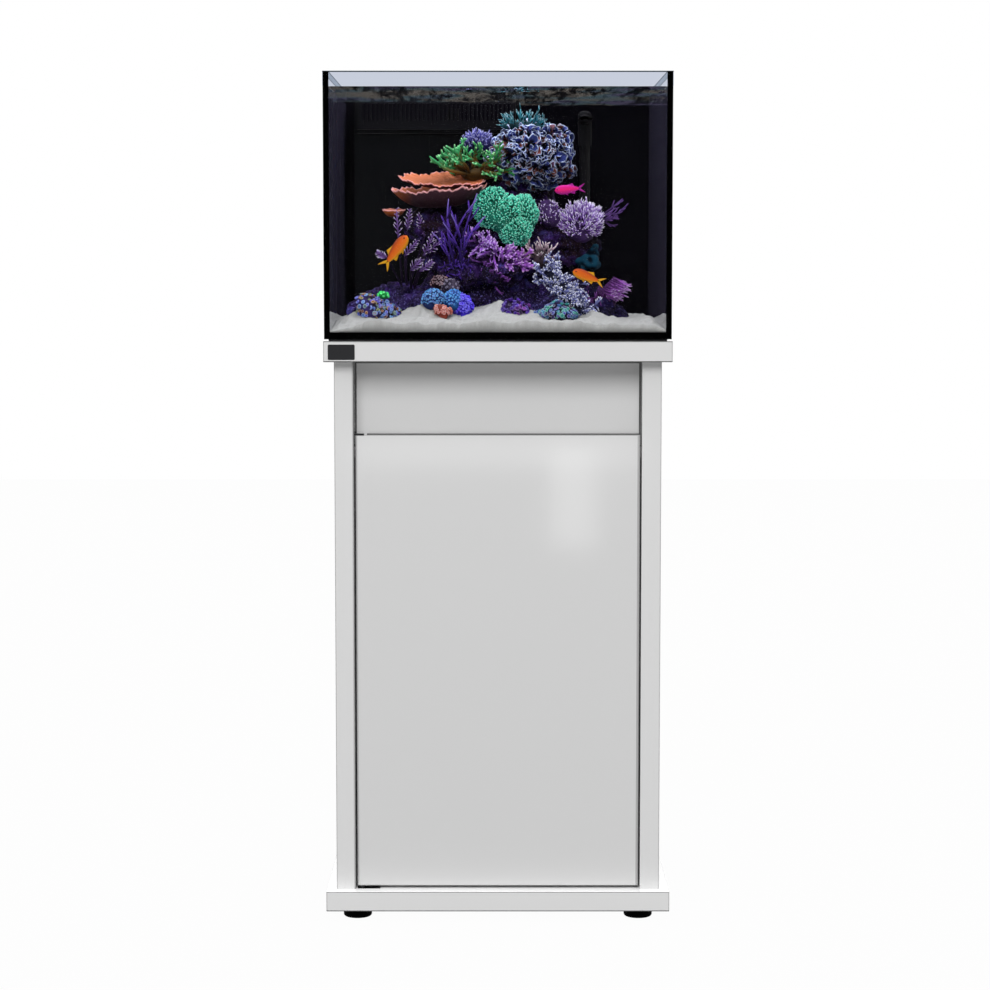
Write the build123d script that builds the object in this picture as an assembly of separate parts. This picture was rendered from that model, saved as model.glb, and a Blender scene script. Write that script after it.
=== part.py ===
from build123d import *
import math
import os

# Reef tank on a gloss cabinet. Millimetres, +Z up, front faces -Y, origin on the floor under the middle.

# Tank
tank_width = 600.0
tank_depth = 550.0
tank_height = 458.0
glass = 10.0
floor_glass = 12.0
seam = 1.0
mat_thickness = 3.0
mat_inset = 8.0

# Cabinet
slab_overhang = 1.0
slab_front_lip = 3.0
slab_thickness = 36.0
plinth_thickness = 35.0
slab_edge = 1.2
clear_height = 929.0
cabinet_inset = 17.0
post_width = 34.0
post_edge = 1.5
post_setback = 22.0
side_back_setback = 12.0
back_panel = 12.0
back_panel_inset = 8.0
service_width = 300.0
service_height = 320.0
service_corner = 30.0
service_rise = 470.0

# Door, recess and catch
door_thickness = 18.0
door_edge = 3.0
door_side_gap = 2.5
door_bottom_gap = 5.0
door_height = 799.0
door_setback = 3.0
recess_depth = 40.0
fascia_thickness = 18.0
rail_thickness = 18.0
rail_clearance = 1.2
finger_depth = 25.0
catch_width = 46.0
catch_height = 15.0
catch_depth = 20.0
catch_inset = 14.0
strike_width = 40.0
strike_height = 12.0
strike_thickness = 1.5

# Door pivots
pivot_inset = 8.0
pin_radius = 3.0
pin_length = 18.0
running_gap = 0.05
bush_wall = 2.0
seat_gap = 0.05
blade_thickness = 2.5
blade_width = 14.0
blade_anchor = 25.0
blade_gap = 0.35
notch_length = 20.0
foot_plate_length = 40.0
thrust_radius = 6.0

# Feet
foot_height = 20.0
foot_radius = 25.0
foot_inset_side = 52.5
foot_inset_front = 53.0
pad_height = 13.0
pad_round = 4.0
pad_socket = 8.0
stud_radius = 5.0
stud_reach = 50.0
collar_flats = 17.0
collar_height = 5.7
insert_wall = 3.0
insert_length = 32.0
part_gap = 0.3

# Weir and comb
weir_side_gap = 20.0
weir_width = 310.0
weir_depth = 90.0
acrylic = 6.0
lip_drop = 76.0
comb_top_drop = 15.0
comb_thickness = 4.0
comb_slot_top = 28.0
comb_slot_bottom = 60.0
comb_pitch = 8.0
comb_slot = 4.0
comb_bar_height = 13.0
comb_hook = 12.0
comb_skirt = 8.0

# Plumbing
pipe_from_rear = 66.5
drain_in_weir = 110.0
emergency_in_weir = 185.0
return_from_side = 125.0
drain_radius = 12.5
return_radius = 10.0
pipe_wall = 2.0
barrel_wall = 4.0
flange_rim = 10.0
flange_height = 8.0
gasket_thickness = 2.0
hole_gap = 1.0
nut_height = 12.0
nut_rim = 11.0
barrel_below = 22.0
stop_ring = 3.0
stop_height = 4.0
slab_hole_gap = 6.0
standpipe_drop = 100.0
emergency_drop = 36.0
strainer_slots = 6
strainer_slot_width = 5.0
strainer_slot_height = 40.0
riser_drop = 94.0
nozzle_height = 66.0
nozzle_skirt = 12.0
nozzle_wall = 3.0
spout_length = 42.0
spout_width = 15.0
spout_height = 5.0
spout_root_share = 0.8
spout_drop_share = 1.3
valve_height = 80.0
valve_wall = 8.0
valve_socket = 22.0
valve_rise = 660.0
stem_radius = 5.0
stem_depth = 12.0
stem_boss = 9.0
stem_boss_length = 14.0
lever_length = 70.0
lever_width = 14.0
lever_thickness = 6.0

# Sump, sock and pump
sump_side_gap = 30.0
sump_depth = 390.0
sump_height = 400.0
sump_glass = 6.0
sump_back_gap = 4.5
baffle_x = (-46.0, -16.0, 14.0)
baffle_height = 300.0
baffle_lift = 40.0
sock_aside = 1.0
sock_forward = 22.0
sock_radius = 47.0
sock_wall = 2.0
sock_flange = 5.0
sock_ring = 4.0
sock_length = 200.0
holder_drop = 34.0
holder_thickness = 6.0
holder_margin = 8.0
dip_into_sock = 40.0
emergency_above_sump = 20.0
volute_radius = 40.0
volute_length = 36.0
chamber_radius = 30.0
chamber_length = 24.0
intake_radius = 12.0
motor_radius = 32.0
motor_length = 86.0
pump_base = 6.0
pump_outlet = 26.0
outlet_wall = 4.0
impeller_gap = 3.0
blade_count = 6
vane_thickness = 3.0
hub_radius = 8.0
shaft_radius = 4.0
shaft_length = 15.0

# Reef: rocks and corals stand on the tank floor; places are (x, y, height above that floor)
sand_profile_x = (-1.0, -0.94, -0.8, -0.5, -0.2, 0.0, 0.2, 0.42, 0.62, 0.82, 0.94, 1.0)
sand_front = (4.0, 14.0, 24.0, 25.0, 22.0, 26.0, 30.0, 25.0, 19.0, 13.0, 13.0, 6.0)
sand_back = (18.0, 30.0, 36.0, 34.0, 32.0, 34.0, 36.0, 32.0, 28.0, 24.0, 22.0, 14.0)
sand_weir_gap = 4.0
rocks = (
    ((-165, 10, 30), (80, 80, 52)),
    ((-30, 20, 50), (118, 92, 74)),
    ((112, 15, 40), (98, 84, 58)),
    ((-45, 15, 135), (86, 72, 70)),
    ((60, 20, 145), (84, 68, 70)),
    ((28, 15, 238), (74, 58, 62)),
    ((-112, -36, 182), (56, 54, 34)),
    ((136, -16, 152), (50, 44, 34)),
    ((186, -70, 22), (50, 44, 34)),
    ((-104, -124, 20), (62, 46, 40)),
    ((104, -112, 24), (52, 40, 34)),
    ((14, -48, 182), (46, 40, 34)),
    ((-66, -72, 96), (40, 44, 30)),
    ((4, -70, 108), (44, 44, 30)),
)
rock_roughness = 0.10
leaf_place, leaf_size = (59, -20, 318), (74, 62, 60)
ball_lobes = (
    ((2, -84, 214), (42, 36, 38)),
    ((40, -80, 206), (32, 30, 36)),
    ((14, -92, 176), (36, 32, 32)),
)
mounds = (
    ((-212, -150, 34), (36, 30, 28)),
    ((-114, -165, 54), (20, 18, 20)),
    ((-78, -160, 54), (20, 18, 19)),
    ((26, -168, 36), (25, 20, 18)),
    ((102, -176, 34), (40, 24, 18)),
)
plate_place = (-110, -70, 206)
plate_rim_radius = 86.0
plate_stem_radius = 26.0
plate_rise = 56.0
plate_wall = 5.0
plate_waves = 9
plate_wave = 5.0
plate_steps = 36
plate_rows = (0.0, 0.55, 1.0)
plate_flare = 0.6
plate_oval = 0.72
branch_sides = 5
branch_low = 0.15
branch_knee = 0.6
branch_thin = 0.75
branch_tip = 0.35
fork_share = 0.4
core_share = 1.9
root_share = 0.7
crumb_share = 0.02
ball_roughness = 0.05
green_branch = ((-46, -48, 286), (88, 60, 66), 16, 7.0)
crown_branch = ((44, -4, 366), (46, 34, 40), 9, 5.0)
violet_tuft = ((-38, 10, 316), (34, 28, 48), 8, 5.0)
lilac_bush = ((146, -44, 184), (54, 48, 52), 18, 6.0)
magenta_branch = ((0, -98, 128), (52, 40, 40), 14, 6.0)
blue_branch = ((118, -134, 56), (48, 34, 62), 15, 6.5)
purple_fan = ((196, -92, 44), (62, 22, 48), 11, 5.0)
twig_spray = ((-165, -50, 62), (64, 34, 134), 14, 5.0)
stick_group = ((-70, -92, 122), (18, 16, 112), 7, 5.5)

# Levels and faces that follow from the sizes above
slab_width = tank_width + 2 * slab_overhang
slab_depth = tank_depth + slab_front_lip
cabinet_width = slab_width - 2 * cabinet_inset
front = -slab_depth / 2
rear = slab_depth / 2
plinth_low = foot_height
plinth_top = plinth_low + plinth_thickness
slab_low = plinth_top + clear_height
slab_top = slab_low + slab_thickness
tank_low = slab_top + mat_thickness
tank_top = tank_low + tank_height
tank_floor = tank_low + floor_glass
tank_front = front + slab_front_lip
tank_rear = rear
inner_half = tank_width / 2 - glass
inner_front = tank_front + glass
inner_rear = tank_rear - glass
opening_half = cabinet_width / 2 - post_width
post_front = front + post_setback
side_rear = rear - side_back_setback
door_front = post_front + door_setback
door_back = door_front + door_thickness
door_low = plinth_top + door_bottom_gap
door_top = door_low + door_height
door_half = opening_half - door_side_gap
fascia_front = door_front + recess_depth
rail_top = door_top - finger_depth
pivot_x = -door_half + pivot_inset
pivot_y = door_front + pivot_inset
door_sweep = math.hypot(pivot_inset, door_thickness - pivot_inset)
rail_front = pivot_y + door_sweep + rail_clearance
bush_radius = pin_radius + running_gap + bush_wall
notch_depth = blade_thickness + 2 * blade_gap
comb_top = tank_top - comb_top_drop
weir_lip = tank_top - lip_drop
weir_left = weir_side_gap - inner_half
weir_right = weir_left + weir_width
weir_front = inner_rear - weir_depth - acrylic
pipe_y = inner_rear - pipe_from_rear
drain_x = weir_left + drain_in_weir
emergency_x = weir_left + emergency_in_weir
return_x = inner_half - return_from_side
sock_x = drain_x + sock_aside
sock_y = pipe_y - sock_forward
sump_rear = side_rear - back_panel_inset - back_panel - sump_back_gap
sump_front = sump_rear - sump_depth
sump_floor = plinth_top + sump_glass
sump_top = plinth_top + sump_height
sump_half = opening_half - sump_side_gap
holder_top = sump_top - holder_drop + holder_thickness
sock_top = holder_top + sock_ring
pump_z = sump_floor + pump_base + volute_radius
bulkheads = ((drain_x, drain_radius), (emergency_x, drain_radius), (return_x, return_radius))


def block(x0, x1, y0, y1, z0, z1):
    """Box between two corners."""
    size = Box(x1 - x0, y1 - y0, z1 - z0, align=(Align.MIN, Align.MIN, Align.MIN))
    return Pos(x0, y0, z0) * size


def rod(x, y, z0, z1, radius):
    """Upright cylinder from z0 to z1."""
    return Pos(x, y, z0) * Cylinder(radius, z1 - z0, align=(Align.CENTER, Align.CENTER, Align.MIN))


def tube(x, y, z0, z1, radius, wall):
    """Upright pipe."""
    return rod(x, y, z0, z1, radius) - rod(x, y, z0, z1, radius - wall)


def bar(x, y0, y1, z, radius):
    """Cylinder along Y from y0 to y1."""
    upright = Cylinder(radius, y1 - y0, align=(Align.CENTER, Align.CENTER, Align.MIN))
    return Pos(x, y0, z) * Rot(-90, 0, 0) * upright


def rounded_slab(z0, z1):
    """Board of the slab outline with softened edges."""
    board = block(-slab_width / 2, slab_width / 2, front, rear, z0, z1)
    return fillet(board.edges(), slab_edge)


def foot_places():
    """The four foot centres, named by side."""
    side = slab_width / 2 - foot_inset_side
    reach = slab_depth / 2 - foot_inset_front
    return {
        "front_left": (-side, -reach),
        "front_right": (side, -reach),
        "rear_left": (-side, reach),
        "rear_right": (side, reach),
    }


# Cabinet

def top_slab():
    board = rounded_slab(slab_low, slab_top)
    for x, radius in bulkheads:
        board -= rod(x, pipe_y, slab_low, slab_top, radius + nut_rim + slab_hole_gap)
    return board


def plinth_slab():
    board = rounded_slab(plinth_low, plinth_top)
    for x, y in foot_places().values():
        board -= rod(x, y, plinth_low, plinth_low + insert_length, insert_outer() + seat_gap)
        board -= rod(x, y, plinth_low, plinth_top, stud_radius + seat_gap)
    return board - pivot_plate()


def insert_outer():
    return stud_radius + running_gap + insert_wall


def side_panel(side):
    """Side panel whose front edge is the post; side is -1 left, 1 right."""
    inner, outer = side * opening_half, side * cabinet_width / 2
    board = block(min(inner, outer), max(inner, outer), post_front, side_rear, plinth_top, slab_low)
    uprights = board.edges().filter_by(Axis.Z).group_by(Axis.Y)[0]
    board = fillet(uprights, post_edge)
    if side < 0:
        top = door_top - blade_gap + blade_gap / 2
        low = door_top - notch_depth + blade_gap / 2
        half = blade_width / 2 + blade_gap
        deep = inner - blade_anchor - blade_gap
        board -= block(deep, inner, pivot_y - half, pivot_y + half, low, top)
    return board


def cabinet_back_panel():
    y1 = side_rear - back_panel_inset
    board = block(-opening_half, opening_half, y1 - back_panel, y1, plinth_top, slab_low)
    middle = plinth_top + service_rise + service_height / 2
    window = RectangleRounded(service_width, service_height, service_corner)
    cutter = extrude(Plane.XZ * window, back_panel * 4, both=True)
    return board - Pos(0, y1, middle) * cutter


def recess_fascia():
    fascia_back = fascia_front + fascia_thickness
    return block(-opening_half, opening_half, fascia_front, fascia_back, rail_top, slab_low)


def cross_rail():
    return block(
        -opening_half,
        opening_half,
        rail_front,
        fascia_front + fascia_thickness,
        rail_top - rail_thickness,
        rail_top,
    )


def door_panel():
    board = block(-door_half, door_half, door_front, door_back, door_low, door_top)
    board = fillet(board.faces().sort_by(Axis.Y)[0].edges(), door_edge)
    board -= block(-door_half - 1, -door_half + notch_length, door_front - 1, door_back + 1,
                   door_top - notch_depth, door_top + 1)
    hole = bush_radius + seat_gap
    board -= rod(pivot_x, pivot_y, door_low, door_low + pin_length, hole)
    board -= rod(pivot_x, pivot_y, door_top - notch_depth - pin_length, door_top - notch_depth, hole)
    return board


def hinge_bushes():
    """Brass sleeves in the door's bottom and top edges."""
    wall = bush_radius - pin_radius - running_gap
    low = tube(pivot_x, pivot_y, door_low, door_low + pin_length, bush_radius, wall)
    top = door_top - notch_depth
    high = tube(pivot_x, pivot_y, top - pin_length, top, bush_radius, wall)
    return [low, high]


def pivot_plate():
    """Plate let into the plinth under the door's hinge corner."""
    half = foot_plate_length / 2
    return block(pivot_x - pivot_inset, pivot_x - pivot_inset + 2 * half, pivot_y - pivot_inset,
                 pivot_y + pivot_inset, plinth_top - blade_thickness, plinth_top)


def hinge_blades():
    """Lower plate with its thrust collar and pin, and the blade from the post over the door's top edge."""
    reach = pin_length - part_gap
    low = pivot_plate() + rod(pivot_x, pivot_y, plinth_top, door_low, thrust_radius)
    low += rod(pivot_x, pivot_y, door_low, door_low + reach, pin_radius)
    z0 = door_top - notch_depth + blade_gap
    z1 = z0 + blade_thickness
    half = blade_width / 2
    high = block(-opening_half - blade_anchor, pivot_x, pivot_y - half, pivot_y + half, z0, z1)
    high += rod(pivot_x, pivot_y, z0, z1, half)
    high += rod(pivot_x, pivot_y, z0 - blade_gap - reach, z0, pin_radius)
    return [low, high]


def strike_face():
    return door_back + strike_thickness


def catch_magnet():
    x1 = opening_half - catch_inset
    top = rail_top - rail_thickness
    body = block(x1 - catch_width, x1, strike_face(), strike_face() + catch_depth, top - catch_height, top)
    return body


def catch_strike():
    middle = opening_half - catch_inset - catch_width / 2
    z = rail_top - rail_thickness - catch_height / 2
    half_x, half_z = strike_width / 2, strike_height / 2
    return block(middle - half_x, middle + half_x, door_back, strike_face(), z - half_z, z + half_z)


# Feet

def foot_pad(x, y):
    pad = rod(x, y, 0, pad_height, foot_radius)
    pad = fillet(pad.edges().sort_by(Axis.Z)[0], pad_round)
    pad = chamfer(pad.edges().sort_by(Axis.Z)[-1], pad_round / 2)
    return pad - rod(x, y, pad_height - pad_socket, pad_height, stud_radius + running_gap)


def foot_stud(x, y):
    collar_low = pad_height + part_gap
    hexagon = RegularPolygon(collar_flats / 2, 6, major_radius=False)
    collar = Pos(x, y, collar_low) * extrude(hexagon, collar_height)
    return rod(x, y, pad_height - pad_socket + part_gap, stud_reach, stud_radius) + collar


def foot_inserts():
    wall = insert_outer() - stud_radius - running_gap
    low = plinth_low
    return [tube(x, y, low, low + insert_length, insert_outer(), wall) for x, y in foot_places().values()]


# Tank

def levelling_mat():
    half = tank_width / 2 - mat_inset
    mat = block(-half, half, tank_front + mat_inset, tank_rear - mat_inset, slab_top, tank_low)
    for x, radius in bulkheads:
        mat -= rod(x, pipe_y, slab_top, tank_low, radius + nut_rim + slab_hole_gap)
    return mat


def tank_bottom_pane():
    half = inner_half - seam
    pane = block(-half, half, inner_front + seam, inner_rear - seam, tank_low, tank_floor)
    for x, radius in bulkheads:
        pane -= rod(x, pipe_y, tank_low, tank_floor, radius + barrel_wall + hole_gap)
    return pane


def long_pane(y0):
    return block(-tank_width / 2, tank_width / 2, y0, y0 + glass, tank_low, tank_top)


def side_pane(side):
    inner, outer = side * inner_half, side * tank_width / 2
    x0, x1 = min(inner, outer), max(inner, outer)
    return block(x0, x1, inner_front + seam, inner_rear - seam, tank_low, tank_top)


def silicone_seams():
    """Black silicone: a U behind the front pane, one before the back pane, two strips beside the bottom."""
    pieces = []
    for y0 in (inner_front, inner_rear - seam):
        frame = block(-tank_width / 2, tank_width / 2, y0, y0 + seam, tank_low, tank_top)
        pieces.append(frame - block(-inner_half, inner_half, y0, y0 + seam, tank_floor, tank_top))
    for side in (-1, 1):
        inner, outer = side * (inner_half - seam), side * inner_half
        pieces.append(block(min(inner, outer), max(inner, outer), inner_front + seam, inner_rear - seam,
                            tank_low, tank_floor))
    return pieces


def weir_panels():
    """Black acrylic front and two sides of the overflow chamber."""
    front_panel = block(weir_left, weir_right, weir_front, weir_front + acrylic, tank_floor, weir_lip)
    sides = [block(x, x + acrylic, weir_front + acrylic, inner_rear, tank_floor, comb_top)
             for x in (weir_left, weir_right - acrylic)]
    return [front_panel] + sides


def weir_comb():
    """Toothed strip hooked over the weir's front panel, with slots between a bar and a top rail."""
    x0, x1 = weir_left + acrylic + part_gap, weir_right - acrylic - part_gap
    face = weir_front - part_gap
    hook_in = weir_front + acrylic + part_gap
    slot_low = tank_top - comb_slot_bottom
    comb = block(x0, x1, face - comb_thickness, face, weir_lip - comb_skirt, comb_top)
    comb += block(x0, x1, face, hook_in, weir_lip, weir_lip + comb_thickness)
    comb += block(x0, x1, hook_in, hook_in + comb_thickness, weir_lip - comb_hook, weir_lip + comb_thickness)
    bar_top = slot_low - comb_slot
    bar_low = bar_top - comb_bar_height
    comb += block(x0, x1, face - 2 * comb_thickness, face - comb_thickness, bar_low, bar_top)
    count = int((x1 - x0 - 2 * comb_pitch) // comb_pitch)
    first = (x0 + x1 - (count - 1) * comb_pitch) / 2
    slots = []
    for i in range(count):
        x = first + i * comb_pitch - comb_slot / 2
        slots.append(block(x, x + comb_slot, face - comb_thickness, face, slot_low, tank_top - comb_slot_top))
    return comb - slots


# Plumbing

def bulkhead_body(x, radius):
    """Flanged barrel with a socket from above and one from below, parted by a stop ring."""
    barrel = radius + barrel_wall
    flange_low = tank_floor + gasket_thickness
    body = rod(x, pipe_y, tank_low - barrel_below, flange_low + flange_height, barrel)
    body += rod(x, pipe_y, flange_low, flange_low + flange_height, radius + flange_rim)
    socket = radius + seat_gap
    body -= rod(x, pipe_y, stop_low() + stop_height, flange_low + flange_height, socket)
    body -= rod(x, pipe_y, tank_low - barrel_below, stop_low(), socket)
    return body - rod(x, pipe_y, stop_low(), stop_low() + stop_height, radius - stop_ring)


def stop_low():
    return tank_low - stop_height


def bulkhead_gasket(x, radius):
    inner = radius + barrel_wall + hole_gap
    return tube(x, pipe_y, tank_floor, tank_floor + gasket_thickness, radius + flange_rim,
                radius + flange_rim - inner)


def bulkhead_nut(x, radius):
    hexagon = RegularPolygon(radius + nut_rim, 6)
    nut = Pos(x, pipe_y, tank_low - nut_height) * extrude(hexagon, nut_height)
    return nut - rod(x, pipe_y, tank_low - nut_height, tank_low, radius + barrel_wall + seat_gap)


def standpipes():
    """Drain standpipe with a slotted top and the taller emergency pipe."""
    low = stop_low() + stop_height
    drain_top = tank_top - standpipe_drop
    drain = tube(drain_x, pipe_y, low, drain_top, drain_radius, pipe_wall)
    slot = Box(4 * drain_radius, strainer_slot_width, strainer_slot_height)
    for i in range(strainer_slots // 2):
        turn = Rot(0, 0, i * 360 / strainer_slots)
        drain -= Pos(drain_x, pipe_y, drain_top - strainer_slot_height) * turn * slot
    cap = rod(drain_x, pipe_y, drain_top, drain_top + pipe_wall, drain_radius)
    return [drain + cap, tube(emergency_x, pipe_y, low, tank_top - emergency_drop, drain_radius, pipe_wall)]


def return_riser():
    return tube(return_x, pipe_y, stop_low() + stop_height, tank_top - riser_drop, return_radius, pipe_wall)


def return_nozzle():
    """Cap that turns on the riser, with a spout flattened towards its mouth."""
    outer = return_radius + running_gap + nozzle_wall
    seat = tank_top - riser_drop
    low = seat - nozzle_skirt
    top = low + nozzle_height
    cap = rod(return_x, pipe_y, low, top, outer)
    spout_root = outer * spout_root_share
    cap = fillet(cap.edges().sort_by(Axis.Z)[-1], spout_root)
    spout_z = top - outer * spout_drop_share
    root = Plane((return_x, pipe_y, spout_z), x_dir=(1, 0, 0), z_dir=(0, -1, 0))
    mouth = Plane((return_x, pipe_y - outer - spout_length, spout_z), x_dir=(1, 0, 0), z_dir=(0, -1, 0))
    inset = nozzle_wall / 2
    outside = loft([root * Circle(spout_root), mouth * Ellipse(spout_width, spout_height)])
    inside = loft([root * Circle(spout_root - nozzle_wall),
                   mouth * Ellipse(spout_width - inset, spout_height - inset)])
    body = cap + outside - rod(return_x, pipe_y, low, seat, return_radius + running_gap)
    return body - rod(return_x, pipe_y, seat, spout_z, return_radius - pipe_wall) - inside


def drain_pipe():
    """Upper run from the bulkhead to the valve, lower run from the valve into the sock."""
    upper = tube(drain_x, pipe_y, valve_top() - valve_socket, stop_low(), drain_radius, pipe_wall)
    end = sock_top - dip_into_sock
    lower = tube(drain_x, pipe_y, end, valve_rise + valve_socket, drain_radius, pipe_wall)
    return [upper, lower]


def valve_top():
    return valve_rise + valve_height


def valve_middle():
    return valve_rise + valve_height / 2


def boss_face():
    return pipe_y - drain_radius - valve_wall - stem_boss_length


def drain_valve_body():
    outer = drain_radius + valve_wall
    body = rod(drain_x, pipe_y, valve_rise, valve_top(), outer)
    body += bar(drain_x, boss_face(), pipe_y, valve_middle(), stem_boss)
    body -= rod(drain_x, pipe_y, valve_rise, valve_top(), drain_radius - pipe_wall)
    socket = drain_radius + seat_gap
    body -= rod(drain_x, pipe_y, valve_rise, valve_rise + valve_socket, socket)
    body -= rod(drain_x, pipe_y, valve_top() - valve_socket, valve_top(), socket)
    bore = stem_radius + running_gap
    return body - bar(drain_x, boss_face(), boss_face() + stem_depth, valve_middle(), bore)


def drain_valve_lever():
    """Lever along the pipe when open, on a stem in the valve's boss."""
    y1 = boss_face() - part_gap
    y0 = y1 - lever_thickness
    lever = bar(drain_x, y0, y1, valve_middle(), stem_boss)
    lever += block(drain_x - lever_width / 2, drain_x + lever_width / 2, y0, y1,
                   valve_middle(), valve_middle() + lever_length)
    lever = fillet(lever.edges().filter_by(Axis.Y).group_by(Axis.Z)[-1], lever_width / 2 - part_gap)
    return lever + bar(drain_x, y0, boss_face() + stem_depth - part_gap, valve_middle(), stem_radius)


def emergency_pipe():
    low = sump_top - emergency_above_sump
    return tube(emergency_x, pipe_y, low, stop_low(), drain_radius, pipe_wall)


def outlet_top():
    return pump_z + volute_radius + pump_outlet


def return_pipe():
    return tube(return_x, pipe_y, outlet_top() - pump_outlet / 2, stop_low(), return_radius, pipe_wall)


# Sump

def sump_panes():
    g = sump_glass
    x0, x1, y0, y1 = -sump_half, sump_half, sump_front, sump_rear
    return [
        block(x0, x1, y0, y1, plinth_top, sump_floor),
        block(x0, x1, y0, y0 + g, sump_floor, sump_top),
        block(x0, x1, y1 - g, y1, sump_floor, sump_top),
        block(x0, x0 + g, y0 + g, y1 - g, sump_floor, sump_top),
        block(x1 - g, x1, y0 + g, y1 - g, sump_floor, sump_top),
    ]


def sump_baffles():
    """Bubble trap: the middle baffle is lifted off the floor and stands higher."""
    g = sump_glass
    pieces = []
    for i, x in enumerate(baffle_x):
        lift = baffle_lift if i == 1 else 0
        pieces.append(block(x, x + g, sump_front + g, sump_rear - g, sump_floor + lift,
                            sump_floor + lift + baffle_height))
    return pieces


def sock_holder():
    """Shelf glued to the sump's left and back panes, with the hole that the sock hangs in."""
    x0 = -sump_half + sump_glass
    y1 = sump_rear - sump_glass
    x1 = sock_x + sock_radius + holder_margin
    y0 = sock_y - sock_radius - holder_margin
    shelf = block(x0, x1, y0, y1, holder_top - holder_thickness, holder_top)
    return shelf - rod(sock_x, sock_y, holder_top - holder_thickness, holder_top, sock_radius + part_gap)


def filter_sock():
    """Felt bag on a plastic ring, open at the top."""
    bag = rod(sock_x, sock_y, sock_top - sock_length, sock_top, sock_radius)
    bag = fillet(bag.edges().sort_by(Axis.Z)[0], sock_radius / 3)
    bag += rod(sock_x, sock_y, holder_top, sock_top, sock_radius + sock_flange)
    return bag - rod(sock_x, sock_y, sock_top - sock_length + sock_wall + sock_radius / 3, sock_top,
                     sock_radius - sock_wall)


def pump_housing():
    """Motor, volute with its chamber and intake, upright outlet and base."""
    y0 = pipe_y - volute_length / 2
    y1 = pipe_y + volute_length / 2
    motor_front = y0 - motor_length
    x0, x1 = return_x - motor_radius, return_x + motor_radius
    rib0, rib1 = return_x - motor_radius / 2, return_x + motor_radius / 2
    body = bar(return_x, y0, y1, pump_z, volute_radius)
    body += bar(return_x, motor_front, y0, pump_z, motor_radius)
    body += block(x0, x1, motor_front, y1, sump_floor, sump_floor + pump_base)
    body += block(rib0, rib1, motor_front + motor_radius, y1, sump_floor, pump_z)
    outlet = return_radius + outlet_wall
    body += rod(return_x, pipe_y, pump_z, outlet_top(), outlet)
    body -= bar(return_x, chamber_front(), chamber_front() + chamber_length, pump_z, chamber_radius)
    body -= bar(return_x, pipe_y, y1, pump_z, intake_radius)
    bore = shaft_radius + running_gap
    body -= bar(return_x, chamber_front() - shaft_length, chamber_front(), pump_z, bore)
    body -= rod(return_x, pipe_y, outlet_top() - pump_outlet / 2, outlet_top(), return_radius + seat_gap)
    return body - rod(return_x, pipe_y, pump_z, outlet_top(), return_radius - pipe_wall)


def chamber_front():
    return pipe_y - chamber_length / 2


def pump_impeller():
    """Six straight vanes on a hub and shaft."""
    y0 = chamber_front() + impeller_gap
    y1 = chamber_front() + chamber_length - impeller_gap
    wheel = bar(return_x, y0, y1, pump_z, hub_radius)
    vane = Pos(0, (y0 + y1) / 2, 0) * Box(2 * (chamber_radius - impeller_gap), y1 - y0, vane_thickness)
    for i in range(blade_count // 2):
        wheel += Pos(return_x, 0, pump_z) * Rot(0, i * 360 / blade_count, 0) * vane
    return wheel + bar(return_x, chamber_front() - shaft_length + part_gap, y0, pump_z, shaft_radius)


# Reef

def polyhedron(points, loops):
    """Solid from plane faces, each given as a loop of point numbers."""
    faces = [Face(Wire.make_polygon([points[i] for i in loop])) for loop in loops]
    return Solid(Shell(faces))


def icosphere():
    """Unit directions and triangles of an icosahedron split once."""
    g = (1 + math.sqrt(5)) / 2
    corners = [(-1, g, 0), (1, g, 0), (-1, -g, 0), (1, -g, 0), (0, -1, g), (0, 1, g),
               (0, -1, -g), (0, 1, -g), (g, 0, -1), (g, 0, 1), (-g, 0, -1), (-g, 0, 1)]
    points = [Vector(*c).normalized() for c in corners]
    triangles = [(a, b, c) for a in range(12) for b in range(a + 1, 12) for c in range(b + 1, 12)
                 if max((points[a] - points[b]).length, (points[b] - points[c]).length,
                        (points[a] - points[c]).length) < 1.2]
    middles = {}
    split = []
    for tri in triangles:
        mids = []
        for i in range(3):
            key = tuple(sorted((tri[i], tri[(i + 1) % 3])))
            if key not in middles:
                middles[key] = len(points)
                points.append((points[key[0]] + points[key[1]]).normalized())
            mids.append(middles[key])
        a, b, c = tri
        split += [(a, mids[0], mids[2]), (b, mids[1], mids[0]), (c, mids[2], mids[1]), tuple(mids)]
    return points, split


SPHERE_POINTS, SPHERE_TRIANGLES = icosphere()


def boulder(place, radii, roughness):
    """Lumpy ball: an icosphere whose radius swells and dips by a sum of sines of its place."""
    x, y, h = place
    points = []
    for d in SPHERE_POINTS:
        swell = math.sin(5 * d.X + 0.03 * x) + math.sin(4 * d.Y + 0.05 * h) + math.sin(6 * d.Z + 0.04 * y)
        k = 1 + roughness * swell / 2
        points.append((x + k * radii[0] * d.X, y + k * radii[1] * d.Y, tank_floor + h + k * radii[2] * d.Z))
    return polyhedron(points, SPHERE_TRIANGLES)


def branch(start, end, r0, r1):
    """Tapered prism from one point to another."""
    axis = Plane(start, z_dir=end - start)
    far = Plane(end, x_dir=axis.x_dir, z_dir=axis.z_dir)
    turns = [2 * math.pi * i / branch_sides for i in range(branch_sides)]
    low = [axis.from_local_coords(Vector(r0 * math.cos(t), r0 * math.sin(t), 0)) for t in turns]
    high = [far.from_local_coords(Vector(r1 * math.cos(t), r1 * math.sin(t), 0)) for t in turns]
    n = branch_sides
    sides = [(i, (i + 1) % n, n + (i + 1) % n, n + i) for i in range(n)]
    return polyhedron(low + high, sides + [tuple(range(n)), tuple(range(n, 2 * n))])


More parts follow.
